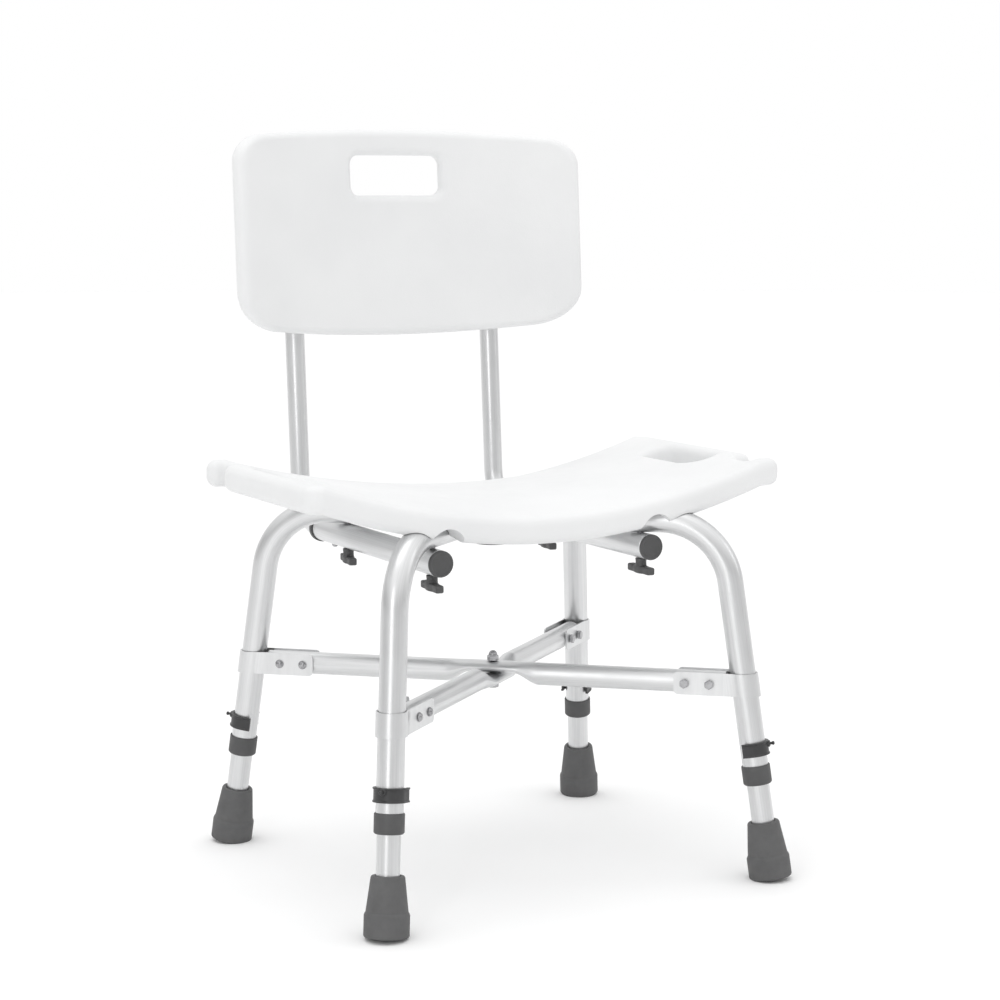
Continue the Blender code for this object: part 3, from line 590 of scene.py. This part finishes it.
def seat_outline():
    """The seat in plan, with a notch in each end on opposite corners, anticlockwise from the right end."""
    r = NOTCH_CORNER
    inside, outside = SEAT_HALF_WIDTH - NOTCH_DEPTH + r, SEAT_HALF_WIDTH - r
    front, back = -NOTCH_Y - NOTCH_WIDTH / 2, -NOTCH_Y + NOTCH_WIDTH / 2
    right = arc(outside, -SEAT_HALF_DEPTH + r, r, 270, 360, 14)
    right += arc(outside, front - r, r, 0, 90, 10)
    right += arc(inside, front + r, r, 270, 180, 10)
    right += arc(inside, back - r, r, 180, 90, 10)
    right += arc(outside, back + r, r, 270, 360, 10)
    right += arc(SEAT_HALF_WIDTH - SEAT_CORNER, SEAT_HALF_DEPTH - SEAT_CORNER, SEAT_CORNER, 0, 90, 14)
    return right + [(-x, -y) for x, y in right]


def make_seat():
    slots = []
    for sign in (-1, 1):
        grip = rounded_box(HANDLE_WIDTH / 2, HANDLE_LENGTH / 2, HANDLE_CORNER)
        slots.append([(x + sign * HANDLE_X, y) for x, y in grip])
    bm = moulding([seat_outline(), *slots], SEAT_THICKNESS, SEAT_EDGE)
    for vert in bm.verts:
        vert.co.z += seat_height(vert.co.x, vert.co.y) - SEAT_THICKNESS / 2
    cutters = []
    for sign in (-1, 1):
        arch = Vector((sign * ARCH_X, 0, ARCH_Z))
        reach = Vector((0, SEAT_HALF_DEPTH + 0.02, 0))
        cutters.append(rod(arch - reach, arch + reach, ARCH_RADIUS, 72))
    for first, second, level in DIAGONALS.values():
        cutters.append(skin(hoop_rings(first, second, -CHANNEL_CLEARANCE, level)))
    cutters.append(seat_bolt_holes())
    seat = carve(bm, cutters)
    make_piece("seat_moulding", seat, WHITE_PLASTIC, "frame", ["seat"], sharp=MOULDING_SHARP)


# The back


def post_foot(sx):
    return Vector((sx * RAIL_X, POST_FOOT_Y, RAIL_Z))


def post_direction():
    return Vector((0, math.sin(POST_LEAN), math.cos(POST_LEAN)))


def post_point(sx, height):
    rise = post_direction()
    return post_foot(sx) + rise * ((height - RAIL_Z) / rise.z)


def make_back():
    middle = (PANEL_TOP + PANEL_BOTTOM) / 2
    half_height = (PANEL_TOP - PANEL_BOTTOM) / 2
    outline = []
    for sx, sz, start in ((1, 1, 0), (-1, 1, 90), (-1, -1, 180), (1, -1, 270)):
        radius = PANEL_TOP_CORNER if sz > 0 else PANEL_BOTTOM_CORNER
        centre_x, centre_z = sx * (PANEL_HALF_WIDTH - radius), sz * (half_height - radius)
        outline += arc(centre_x, centre_z, radius, start, start + 90, 16)
    grip = [(x, z + GRIP_Z - middle) for x, z in rounded_box(GRIP_LENGTH / 2, GRIP_HEIGHT / 2, GRIP_CORNER)]
    bm = moulding([outline, grip], PANEL_THICKNESS, PANEL_EDGE)
    scale = PANEL_BOW / PANEL_HALF_WIDTH**2
    for vert in bm.verts:
        x, up, depth = vert.co
        edge_bow = PANEL_BOTTOM_BOW if up < 0 else PANEL_TOP_BOW
        height = middle + up + edge_bow * (x / PANEL_HALF_WIDTH) ** 2 * abs(up / half_height) ** 3
        normal = Vector((2 * scale * x, 1, 0)).normalized()
        axis_y = POST_FOOT_Y + (height - RAIL_Z) * math.tan(POST_LEAN)
        vert.co = Vector((x, axis_y - PANEL_AHEAD - scale * x * x, height)) - normal * depth
    bmesh.ops.recalc_face_normals(bm, faces=bm.faces)
    bosses = []
    for sx in SIDES_OF_CHAIR.values():
        outline = [(-SOCKET_RADIUS, -SOCKET_REACH), (SOCKET_RADIUS, -SOCKET_REACH)]
        outline += arc(0, 0, SOCKET_RADIUS, 0, 180, 32)
        insets = [(0.0014, SOCKET_LOW), (0.0004, SOCKET_LOW + 0.0006), (0, SOCKET_LOW + 0.0016)]
        insets += [(0, SOCKET_HIGH - 0.0070), (0.0007, SOCKET_HIGH - 0.0042), (0.0026, SOCKET_HIGH - 0.0016)]
        insets += [(0.0050, SOCKET_HIGH - 0.0004), (0.0072, SOCKET_HIGH)]
        rings = []
        for inset, height in insets:
            centre, shrink = post_point(sx, height), 1 - inset / SOCKET_RADIUS
            rings.append([centre + Vector((x * shrink, y * shrink, 0)) for x, y in outline])
        bosses.append(skin(rings))
    bm = carve(bm, bosses, "UNION")
    low, high = PANEL_BOTTOM - 0.03, POST_TOP_Z + 0.002
    sides = SIDES_OF_CHAIR.values()
    bores = [rod(post_point(sx, low), post_point(sx, high), POST_RADIUS + GAP, FINE) for sx in sides]
    back = carve(bm, bores)
    make_piece("back_moulding", back, WHITE_PLASTIC, "backrest", ["back_panel"],
               sharp=MOULDING_SHARP)


def button_hole(sx):
    centre = Vector((sx * RAIL_X, BUTTON_Y, RAIL_Z))
    return rod(centre - UP * 0.020, centre - UP * 0.004, BUTTON_HOLE)


def make_posts():
    for side, sx in SIDES_OF_CHAIR.items():
        corners = [Vector((sx * RAIL_X, POST_FRONT, RAIL_Z)), post_foot(sx), post_point(sx, POST_TOP_Z)]
        tube = hollow(rounded_path(corners, POST_BEND), POST_RADIUS, POST_BORE)
        post = carve(tube, [button_hole(sx)])
        make_piece(f"back_post_{side}_tube", post, ALUMINIUM, "backrest",
                   [f"back_post_{side}"])

        outside = -TUBE_RADIUS - BUTTON_OUT
        dome = [(0.0006, outside), (0.0020, outside + 0.0004), (0.0030, outside + 0.0014)]
        dome += [(BUTTON_RADIUS, outside + 0.0026), (BUTTON_RADIUS, SPRING_LEVEL - 0.0001)]
        strip = prism(rounded_box(0.0026, 0.0150, 0.0020), SPRING_LEVEL - 0.0005, SPRING_LEVEL + 0.0005)
        strip = moved(strip, Matrix.Translation(Y * SPRING_Y))
        button = carve(turned(dome, sides=SMALL, soft=0.0002), [strip], "UNION")
        place = Matrix.Translation((sx * RAIL_X, BUTTON_Y, RAIL_Z))
        name = f"snap_button_{side}"
        make_piece(f"{name}_dome", button, STEEL, name, [name], place)


# The rails and knobs


def make_rails():
    for side, sx in SIDES_OF_CHAIR.items():
        along = Matrix.Translation((sx * RAIL_X, 0, RAIL_Z)) @ Matrix.Rotation(math.radians(-90), 4, "X")
        ends = [(Vector((sx * RAIL_X, y, RAIL_Z)), Y) for y in (RAIL_FRONT, RAIL_REAR)]
        rail = carve(hollow(ends, TUBE_RADIUS, TUBE_BORE), [seat_bolt_holes(), button_hole(sx)])
        make_piece(f"seat_rail_{side}_tube", rail, ALUMINIUM, "frame",
                   [f"seat_rail_{side}"])

        spigot = TUBE_BORE - GAP
        front = RAIL_FRONT - GAP
        cap = [(0.0005, front - 0.0024), (0.0098, front - 0.0024), (0.0104, front - 0.0030)]
        cap += [(TUBE_RADIUS - 0.0004, front - 0.0030), (TUBE_RADIUS, front - 0.0024), (TUBE_RADIUS, front)]
        cap += [(spigot, front), (spigot, front + 0.0125)]
        make_piece(f"rail_cap_{side}_disc", turned(cap, soft=0.0005), GREY_PLASTIC, "frame",
                   [f"rail_cap_{side}"], along)

        mouth = POST_RADIUS + 0.00035
        rear = RAIL_REAR + GAP
        bush = [(mouth, rear + 0.0065), (0.0132, rear + 0.0065), (0.0140, rear + 0.0055), (0.0140, rear)]
        bush += [(spigot, rear), (spigot, rear - 0.019), (mouth, rear - 0.019)]
        make_piece(f"rail_bush_{side}_ring", turned(bush, closed=True, soft=0.0006), GREY_PLASTIC,
                   "frame", [f"rail_bush_{side}"], along)


def knob_bar():
    """The knob's lever: a bar with rounded ends that widens towards its hub."""
    rings = []
    lengths, sides, squareness, roundness = 48, 40, 0.38, 26
    half, hub_reach = KNOB_BAR_LENGTH / 2, 0.0072
    middle = KNOB_BOTTOM + KNOB_BAR_HEIGHT / 2
    for i in range(lengths + 1):
        t = math.cos(math.pi * i / lengths)
        x = half * t
        end = (1 - abs(t) ** roundness) ** 0.5 if abs(t) < 1 else 0.0
        hub = math.exp(-((x / hub_reach) ** 4))
        wide = (0.0041 + 0.0014 * hub) * (0.72 + 0.28 * end)
        tall = (0.0037 + 0.0003 * hub) * (0.74 + 0.26 * end)
        points = []
        for k in range(sides):
            angle = 2 * math.pi * (k + 0.5) / sides
            c, s = math.cos(angle), math.sin(angle)
            across = math.copysign(abs(c) ** squareness, c) * wide
            points.append(Vector((x, across, middle + math.copysign(abs(s) ** squareness, s) * tall)))
        rings.append(points)
    return skin(rings)


def make_knobs():
    for corner, signs in CORNERS.items():
        turn = Matrix.Rotation(math.radians(KNOB_TURNS[corner]), 4, "Z")
        place = Matrix.Translation(knob_place(*signs)) @ turn
        stem = [(0.0050, KNOB_BOTTOM + 0.0012), (0.0056, KNOB_BOTTOM + 0.0060), (0.0053, KNOB_TOP - 0.0030)]
        stem += [(0.0056, KNOB_TOP - 0.0016), (0.0056, KNOB_TOP)]
        floor = KNOB_BOTTOM + 0.004
        bore = [(KNOB_BOLT_RADIUS + GAP, floor), (KNOB_BOLT_RADIUS + GAP, KNOB_TOP + 0.002)]
        knob = carve(knob_bar(), [turned(stem, soft=0.0006)], "UNION")
        knob = carve(knob, [turned(bore, soft=0)])
        make_piece(f"t_knob_{corner}_lever", knob, GREY_PLASTIC, f"knob_{corner}",
                   [f"t_knob_{corner}"], place)
        thread = threaded(KNOB_BOLT_RADIUS, floor + GAP, SEAT_MIDDLE_Z - 0.0024)
        make_piece(f"knob_bolt_{corner}_thread", turned(thread, sides=SMALL, soft=0), STEEL,
                   f"knob_{corner}", [f"knob_bolt_{corner}"], place)


def threaded(radius, low, high):
    """A rod's profile with thread-like ridges, from one height to another."""
    count = int((high - low) / THREAD_PITCH)
    step = (high - low) / count
    profile = [(radius * 0.82, low)]
    for i in range(count):
        for width, part in ((0.90, 0.15), (1.00, 0.50), (0.90, 0.85)):
            profile.append((radius * width, low + step * (i + part)))
    return profile + [(radius * 0.78, high)]


# The legs


def make_hoops():
    for which, (first, second, level) in DIAGONALS.items():
        outer = hoop_rings(first, second, 0, level)
        inner = hoop_rings(first, second, TUBE_RADIUS - TUBE_BORE, level)
        cutters = [seat_bolt_holes()]
        cutters += [moved(pin_holes([PIN_HEIGHT]), leg_frame(*end)) for end in (first, second)]
        hoop = carve(skin(outer + inner[::-1], closed=True), cutters)
        name = f"leg_hoop_{which}"
        make_piece(f"{name}_tube", hoop, ALUMINIUM, "frame", [name])


def make_legs():
    tip_base = -(LEG_END_Z - TIP_BASE_Z) / leg_axis(1, 1).z
    wide = 0.3
    below_floor = [(-wide, -wide), (wide, -wide), (wide, wide), (-wide, wide)]
    for corner, signs in CORNERS.items():
        place = leg_frame(*signs)
        bottom = tip_base + TIP_FLOOR + GAP
        tube = hollow([(UP * bottom, UP), (UP * EXTENSION_TOP, UP)], EXTENSION_RADIUS, EXTENSION_BORE)
        tube = carve(tube, [pin_holes([PIN_HEIGHT + HOLE_PITCH * i for i in range(HOLE_COUNT)])])
        make_piece(f"leg_extension_{corner}_tube", tube, ALUMINIUM, f"leg_{corner}",
                   [f"leg_extension_{corner}"], place)

        top = tip_base + TIP_HEIGHT
        tip = [
            (AXIS, tip_base),
            (0.0198, tip_base),
            (0.0211, tip_base + 0.0014),
            (0.0211, tip_base + 0.0206),
            (0.0203, tip_base + 0.0222),
            (0.0196, tip_base + 0.0232),
            (0.0158, top - 0.0016),
            (0.0148, top),
            (EXTENSION_RADIUS + 0.0012, top),
            (EXTENSION_RADIUS + GAP, top - 0.0012),
            (EXTENSION_RADIUS + GAP, tip_base + TIP_FLOOR),
            (AXIS, tip_base + TIP_FLOOR),
        ]
        foot = carve(moved(turned(tip, soft=0.0009), place), [prism(below_floor, -0.05, 0.0)])
        make_piece(f"rubber_tip_{corner}_foot", foot, GREY_RUBBER, f"leg_{corner}",
                   [f"rubber_tip_{corner}"])

        inner, lip = TUBE_RADIUS + GAP, EXTENSION_RADIUS + 0.0004
        collar = [
            (lip, COLLAR_BOTTOM),
            (0.0128, COLLAR_BOTTOM),
            (COLLAR_RADIUS, COLLAR_BOTTOM + 0.0015),
            (COLLAR_RADIUS, COLLAR_TOP - 0.0007),
            (COLLAR_RADIUS - 0.0006, COLLAR_TOP),
            (inner, COLLAR_TOP),
            (inner, -GAP),
            (lip, -GAP),
        ]
        make_piece(f"leg_collar_{corner}_ring", turned(collar, closed=True, soft=0.0005), GREY_PLASTIC,
                   "frame", [f"leg_collar_{corner}"], place)


def clip_band():
    """The clip's spring band: a channel with a lip along each edge, open towards the chair's middle."""
    low, high = CLIP_MIDDLE - CLIP_HEIGHT / 2, CLIP_MIDDLE + CLIP_HEIGHT / 2
    section = [
        (CLIP_INNER, low + 0.0004),
        (CLIP_INNER + 0.0004, low),
        (CLIP_OUTER - 0.0003, low),
        (CLIP_OUTER, low + 0.0003),
        (CLIP_OUTER, low + 0.0013),
        (CLIP_OUTER - 0.0008, low + 0.0021),
        (CLIP_OUTER - 0.0008, high - 0.0021),
        (CLIP_OUTER, high - 0.0013),
        (CLIP_OUTER, high - 0.0003),
        (CLIP_OUTER - 0.0003, high),
        (CLIP_INNER + 0.0004, high),
        (CLIP_INNER, high - 0.0004),
    ]
    flats, steps = 5, 48
    reaches = [-CLIP_REACH + CLIP_REACH * i / flats for i in range(flats)]
    rings = [[Vector((x, -r, z)) for r, z in section] for x in reaches]
    for i in range(steps + 1):
        angle = math.radians(-90 + 180 * i / steps)
        rings.append([Vector((r * math.cos(angle), r * math.sin(angle), z)) for r, z in section])
    rings += [[Vector((x, r, z)) for r, z in section] for x in reaches[::-1]]
    return skin(rings)


def make_clips():
    for corner, signs in CORNERS.items():
        origin = UP * PIN_HEIGHT
        boss = [(AXIS, 0.0143), (0.0035, 0.0143), (0.0035, CLIP_OUTER + 0.0002)]
        boss += [(0.0028, CLIP_OUTER + 0.0013), (AXIS, CLIP_OUTER + 0.0013)]
        pin = [(AXIS, 0.0082), (PIN_RADIUS * 0.75, 0.0082), (PIN_RADIUS, 0.0092), (PIN_RADIUS, CLIP_OUTER)]
        pin += [(0.0014, CLIP_OUTER + 0.0010), (0.0013, CLIP_OUTER + 0.0030), (0.0019, CLIP_OUTER + 0.0038)]
        pin += [(0.0020, CLIP_OUTER + 0.0046), (0.0014, CLIP_OUTER + 0.0055), (AXIS, CLIP_OUTER + 0.0058)]
        parts = [turned_along(boss, X, Y, origin, soft=0.0006), turned_along(pin, X, Y, origin)]
        make_piece(f"leg_clip_{corner}_band", carve(clip_band(), parts, "UNION"), CLIP_PLASTIC,
                   f"clip_{corner}", [f"leg_clip_{corner}"], leg_frame(*signs))


# The braces


def brace_frame(sx, sy):
    """A matrix at a leg's axis, +X along the brace towards the middle, +Z up."""
    origin = leg_point(sx, sy, BRACE_Z)
    inwards = -Vector((origin.x, origin.y, 0)).normalized()
    rotation = Matrix((inwards, UP.cross(inwards), UP)).transposed()
    return Matrix.Translation(origin) @ rotation.to_4x4()


def strap_outline(height, lean):
    """The strap's outline at this height above its middle; its loop follows the leaning leg."""
    shift = lean * height
    outline = []
    for radius, ear, order in (
        (STRAP_INNER + STRAP_THICKNESS, STRAP_EAR + STRAP_THICKNESS, 1),
        (STRAP_INNER, STRAP_EAR, -1),
    ):
        loop = [(x + shift.x, y + shift.y) for x, y in arc(0, 0, radius, 62, 298, 44)]
        start, run = 0.0150, 0.004
        blend = [(start + run, ear), (start + shift.x, ear)]
        back = [(start + shift.x, -ear), (start + run, -ear)]
        side = [(STRAP_LENGTH, ear), *blend, *loop, *back, (STRAP_LENGTH, -ear)]
        outline += side[::order]
    return outline


def clamp_bolts_cutter():
    reach = STRAP_EAR + STRAP_THICKNESS + 0.004
    return combine([rod(Vector((x, -reach, 0)), Vector((x, reach, 0)), STRAP_BOLT_HOLE) for x in STRAP_BOLTS])


def hexagon(distances, axis, side, origin):
    """A six-sided nut along an axis from (half-width, distance) pairs."""
    return skin([ring(origin + axis * d, axis, side, r, sides=6) for r, d in distances])


def clamp_bolt(x):
    """A pan-head screw with a cross recess, a washer under its head, and a nut on the threaded end."""
    face = STRAP_EAR + STRAP_THICKNESS + GAP
    origin = X * x
    head = [(AXIS, face + 0.0030), (0.0018, face + 0.0028), (0.0032, face + 0.0021), (0.0039, face + 0.0010)]
    head += [(0.0039, face + 0.0005), (0.0044, face + 0.0005), (0.0044, face), (AXIS, face)]
    head = turned_along(head, -Y, X, origin, soft=0.0003)
    arm, blade = 0.0019, 0.00045
    into_head = Matrix.Translation(origin - Y * (face + 0.0040)) @ Matrix.Rotation(math.radians(90), 4, "X")
    for a, b in ((arm, blade), (blade, arm)):
        head = carve(head, [moved(prism(rounded_box(a, b, 0.0002, 3), -0.0032, -0.0012), into_head)])
    shank = turned_along(threaded(STRAP_BOLT_RADIUS, -face - 0.0002, face + 0.0068), Y, X, origin, 0)
    nut = [(0.0040, face), (0.0046, face + 0.0005), (0.0046, face + 0.0037), (0.0040, face + 0.0042)]
    return carve(head, [shank, hexagon(nut, Y, X, origin)], "UNION")


def make_clamps():
    for corner, signs in CORNERS.items():
        place = brace_frame(*signs)
        axis = place.to_3x3().inverted() @ leg_axis(*signs)
        lean = Vector((axis.x, axis.y)) / axis.z
        bands = 6
        heights = [STRAP_HEIGHT * (i / bands - 0.5) for i in range(bands + 1)]
        strap = skin([[Vector((x, y, z)) for x, y in strap_outline(z, lean)] for z in heights])
        back = 0.03
        middle = (STRAP_LENGTH - back) / 2
        ends = rounded_box(STRAP_LENGTH - middle, STRAP_HEIGHT / 2 + 1e-5, 0.0045)
        ends = prism([(x + middle, y) for x, y in ends], -0.03, 0.03)
        strap = carve(strap, [moved(ends, Matrix.Rotation(math.radians(90), 4, "X"))], "INTERSECT")
        strap = carve(strap, [clamp_bolts_cutter()])
        make_piece(f"brace_clamp_{corner}_strap", strap, ALUMINIUM, "frame",
                   [f"brace_clamp_{corner}"], place)
        for number, x in zip(("outer", "inner"), STRAP_BOLTS):
            name = f"clamp_bolt_{corner}_{number}"
            make_piece(f"{name}_screw", clamp_bolt(x), STEEL, "frame", [name], place)

        plug = [(AXIS, -0.0023), (BRACE_RADIUS - 0.0006, -0.0023), (BRACE_RADIUS, -0.0017)]
        plug += [(BRACE_RADIUS, -GAP), (BRACE_BORE - GAP, -GAP), (BRACE_BORE - GAP, 0.0055), (AXIS, 0.0055)]
        along = place @ Matrix.Translation((BRACE_START, 0, 0)) @ Matrix.Rotation(math.radians(90), 4, "Y")
        make_piece(f"brace_plug_{corner}_disc", turned(plug), GREY_PLASTIC, "frame",
                   [f"brace_plug_{corner}"], along)


def make_braces():
    """Two straight tubes that cross, each pressed flat where they meet."""
    for which, (first, second, level) in DIAGONALS.items():
        frames = [brace_frame(*first), brace_frame(*second)]
        ends = [place @ Vector((BRACE_START, 0, 0)) for place in frames]
        direction = (ends[1] - ends[0]).normalized()
        stations = [(ends[0], direction), *crossing_stations(*ends), (ends[1], direction)]
        flat = BRACE_RADIUS / 2 - GAP / 2
        rings = [
            flattened_rings(stations, direction.cross(UP), BRACE_RADIUS, trim, level * BRACE_RADIUS / 2, flat)
            for trim in (0, BRACE_RADIUS - BRACE_BORE)
        ]
        cutters = [moved(clamp_bolts_cutter(), place) for place in frames]
        cutters.append(rod(UP * (BRACE_Z - 0.02), UP * (BRACE_Z + 0.02), BRACE_BOLT_HOLE))
        brace = carve(skin(rings[0] + rings[1][::-1], closed=True), cutters)
        name = f"cross_brace_{which}"
        make_piece(f"{name}_tube", brace, ALUMINIUM, "frame", [name])


def make_brace_joint():
    top, bottom = BRACE_Z + BRACE_RADIUS, BRACE_Z - BRACE_RADIUS
    head = bottom - GAP
    shank = turned(threaded(BRACE_BOLT_RADIUS, head - 0.0005, top + 0.0078), sides=SMALL, soft=0)
    wide = 0.0058
    hexes = [(0.0052, head - 0.0042), (wide, head - 0.0036), (wide, head - 0.0012), (0.0054, head - 0.0008)]
    washer = [(AXIS, head - 0.0009), (wide, head - 0.0009), (wide, head), (AXIS, head)]
    bolt = carve(hexagon(hexes, UP, X, Vector()), [turned(washer, soft=0.0002), shank], "UNION")
    make_piece("brace_centre_bolt_hex", bolt, STEEL, "frame", ["brace_centre_bolt"])

    base = [(0.0054, top + GAP), (wide, top + GAP + 0.0004), (wide, top + 0.0050), (0.0050, top + 0.0058)]
    dome = [(0.0046, top + 0.0050), (0.0045, top + 0.0064), (0.0040, top + 0.0082), (0.0028, top + 0.0098)]
    dome += [(0.0012, top + 0.0105), (AXIS, top + 0.0106)]
    bore = [(0.0034, top - 0.001), (0.0034, top + 0.0084)]
    nut = carve(hexagon(base, UP, X, Vector()), [turned(dome, soft=0.0008)], "UNION")
    nut = carve(nut, [turned(bore, sides=SMALL, soft=0)])
    make_piece("brace_centre_nut_acorn", nut, STEEL, "frame", ["brace_centre_nut"])


def make_hoop_joint():
    top = KNEE_Z - TUBE_RADIUS - GAP
    bottom, ledge = top - 0.0150, top - 0.0095
    bore, pocket, outer = 0.0036, 0.0076, 0.0205
    spacer = [(pocket, bottom), (0.0190, bottom), (outer, bottom + 0.0015), (outer, top)]
    spacer += [(bore, top), (bore, ledge), (pocket, ledge)]
    make_piece("hoop_centre_spacer_puck", turned(spacer, closed=True, soft=0.0010), GREY_PLASTIC,
               "frame", ["hoop_centre_spacer"])
    head = ledge - GAP
    hexes = [(0.0056, head - 0.0036), (0.0060, head - 0.0030), (0.0060, head)]
    shank = turned(threaded(CENTRE_BOLT_RADIUS, head - 0.0005, SEAT_MIDDLE_Z - 0.0060), sides=SMALL, soft=0)
    bolt = carve(hexagon(hexes, UP, X, Vector()), [shank], "UNION")
    make_piece("hoop_centre_bolt_hex", bolt, STEEL, "frame", ["hoop_centre_bolt"])


# The studio


def grey_ramp(tree, value, stops):
    """A ramp of greys, at these (position, brightness) stops."""
    ramp = tree.nodes.new("ShaderNodeValToRGB")
    tree.links.new(value, ramp.inputs["Fac"])
    elements = ramp.color_ramp.elements
    for element, (position, grey) in zip(elements, (stops[0], stops[-1])):
        element.position, element.color = position, (grey, grey, grey, 1)
    for position, grey in stops[1:-1]:
        elements.new(position).color = (grey, grey, grey, 1)
    return ramp.outputs["Color"]


def make_studio():
    floor = bpy.data.objects.new("floor", bpy.data.meshes.new("floor"))
    angles = [2 * math.pi * i / FINE for i in range(FINE)]
    disc = [(FLOOR_RADIUS * math.cos(a), FLOOR_RADIUS * math.sin(a)) for a in angles]
    bm = prism(disc, -FLOOR_THICKNESS, 0.0)
    bm.to_mesh(floor.data)
    bm.free()
    bpy.context.scene.collection.objects.link(floor)
    made = Nodes("floor")
    speckle = made.noise(made.coordinates((3, 3, 3)), 3)
    made.link(made.colour(speckle, (0.94, 0.94, 0.94), (0.96, 0.96, 0.96)), made.shader.inputs["Base Color"])
    made.shader.inputs["Roughness"].default_value = 0.9
    made.shader.inputs["Specular IOR Level"].default_value = 0.1
    floor.data.materials.append(made.material)

    world = bpy.data.worlds.new("studio")
    bpy.context.scene.world = world
    world.use_nodes = True
    tree = world.node_tree
    place = tree.nodes.new("ShaderNodeTexCoord")
    turn = tree.nodes.new("ShaderNodeMapping")
    turn.inputs["Rotation"].default_value = (0, 0, math.radians(VIEW_AZIMUTH))
    split = tree.nodes.new("ShaderNodeSeparateXYZ")
    tree.links.new(place.outputs["Generated"], turn.inputs["Vector"])
    tree.links.new(turn.outputs["Vector"], split.inputs["Vector"])
    depth = tree.nodes.new("ShaderNodeMapRange")
    depth.inputs["From Min"].default_value = -1
    tree.links.new(split.outputs["Y"], depth.inputs["Value"])
    walls = grey_ramp(tree, depth.outputs["Result"], WALLS)
    sky = grey_ramp(tree, split.outputs["Z"], SKY)
    lift = grey_ramp(tree, split.outputs["Z"], SKY_START)
    mix = tree.nodes.new("ShaderNodeMix")
    mix.data_type = "RGBA"
    tree.links.new(lift, mix.inputs["Factor"])
    tree.links.new(walls, mix.inputs["A"])
    tree.links.new(sky, mix.inputs["B"])
    tree.links.new(mix.outputs["Result"], tree.nodes["Background"].inputs["Color"])

    for name, place, aim, width, height, watts in (
        ("strip", (-2.0, -1.9, 1.0), (0, 0, 0.40), 0.55, 1.8, 8),
        ("fill", (2.3, -1.1, 1.2), (0, 0, 0.35), 0.6, 1.4, 3),
        ("top", (-0.3, 0.2, 2.6), (0, 0, 0.40), 1.6, 1.6, 7),
    ):
        light = bpy.data.lights.new(name, "AREA")
        light.shape, light.size, light.size_y, light.energy = "RECTANGLE", width, height, watts
        lamp = bpy.data.objects.new(name, light)
        bpy.context.scene.collection.objects.link(lamp)
        lamp.location = place
        lamp.rotation_euler = (Vector(aim) - Vector(place)).to_track_quat("-Z", "Y").to_euler()


def make_camera():
    camera = bpy.data.objects.new("camera", bpy.data.cameras.new("camera"))
    bpy.context.scene.collection.objects.link(camera)
    camera.location = HOME @ CAMERA_PLACE
    camera.rotation_euler = (math.radians(90 - VIEW_DROP), 0, math.radians(-VIEW_AZIMUTH))
    camera.data.sensor_width = CAMERA_SENSOR
    camera.data.lens = CAMERA_LENS
    camera.data.shift_x, camera.data.shift_y = CAMERA_SHIFT
    bpy.context.scene.camera = camera


bpy.context.scene.view_settings.view_transform = "Standard"
make_camera()
make_seat()
make_back()
make_posts()
make_rails()
make_knobs()
make_hoops()
make_legs()
make_clips()
make_clamps()
make_braces()
make_brace_joint()
make_hoop_joint()
make_studio()
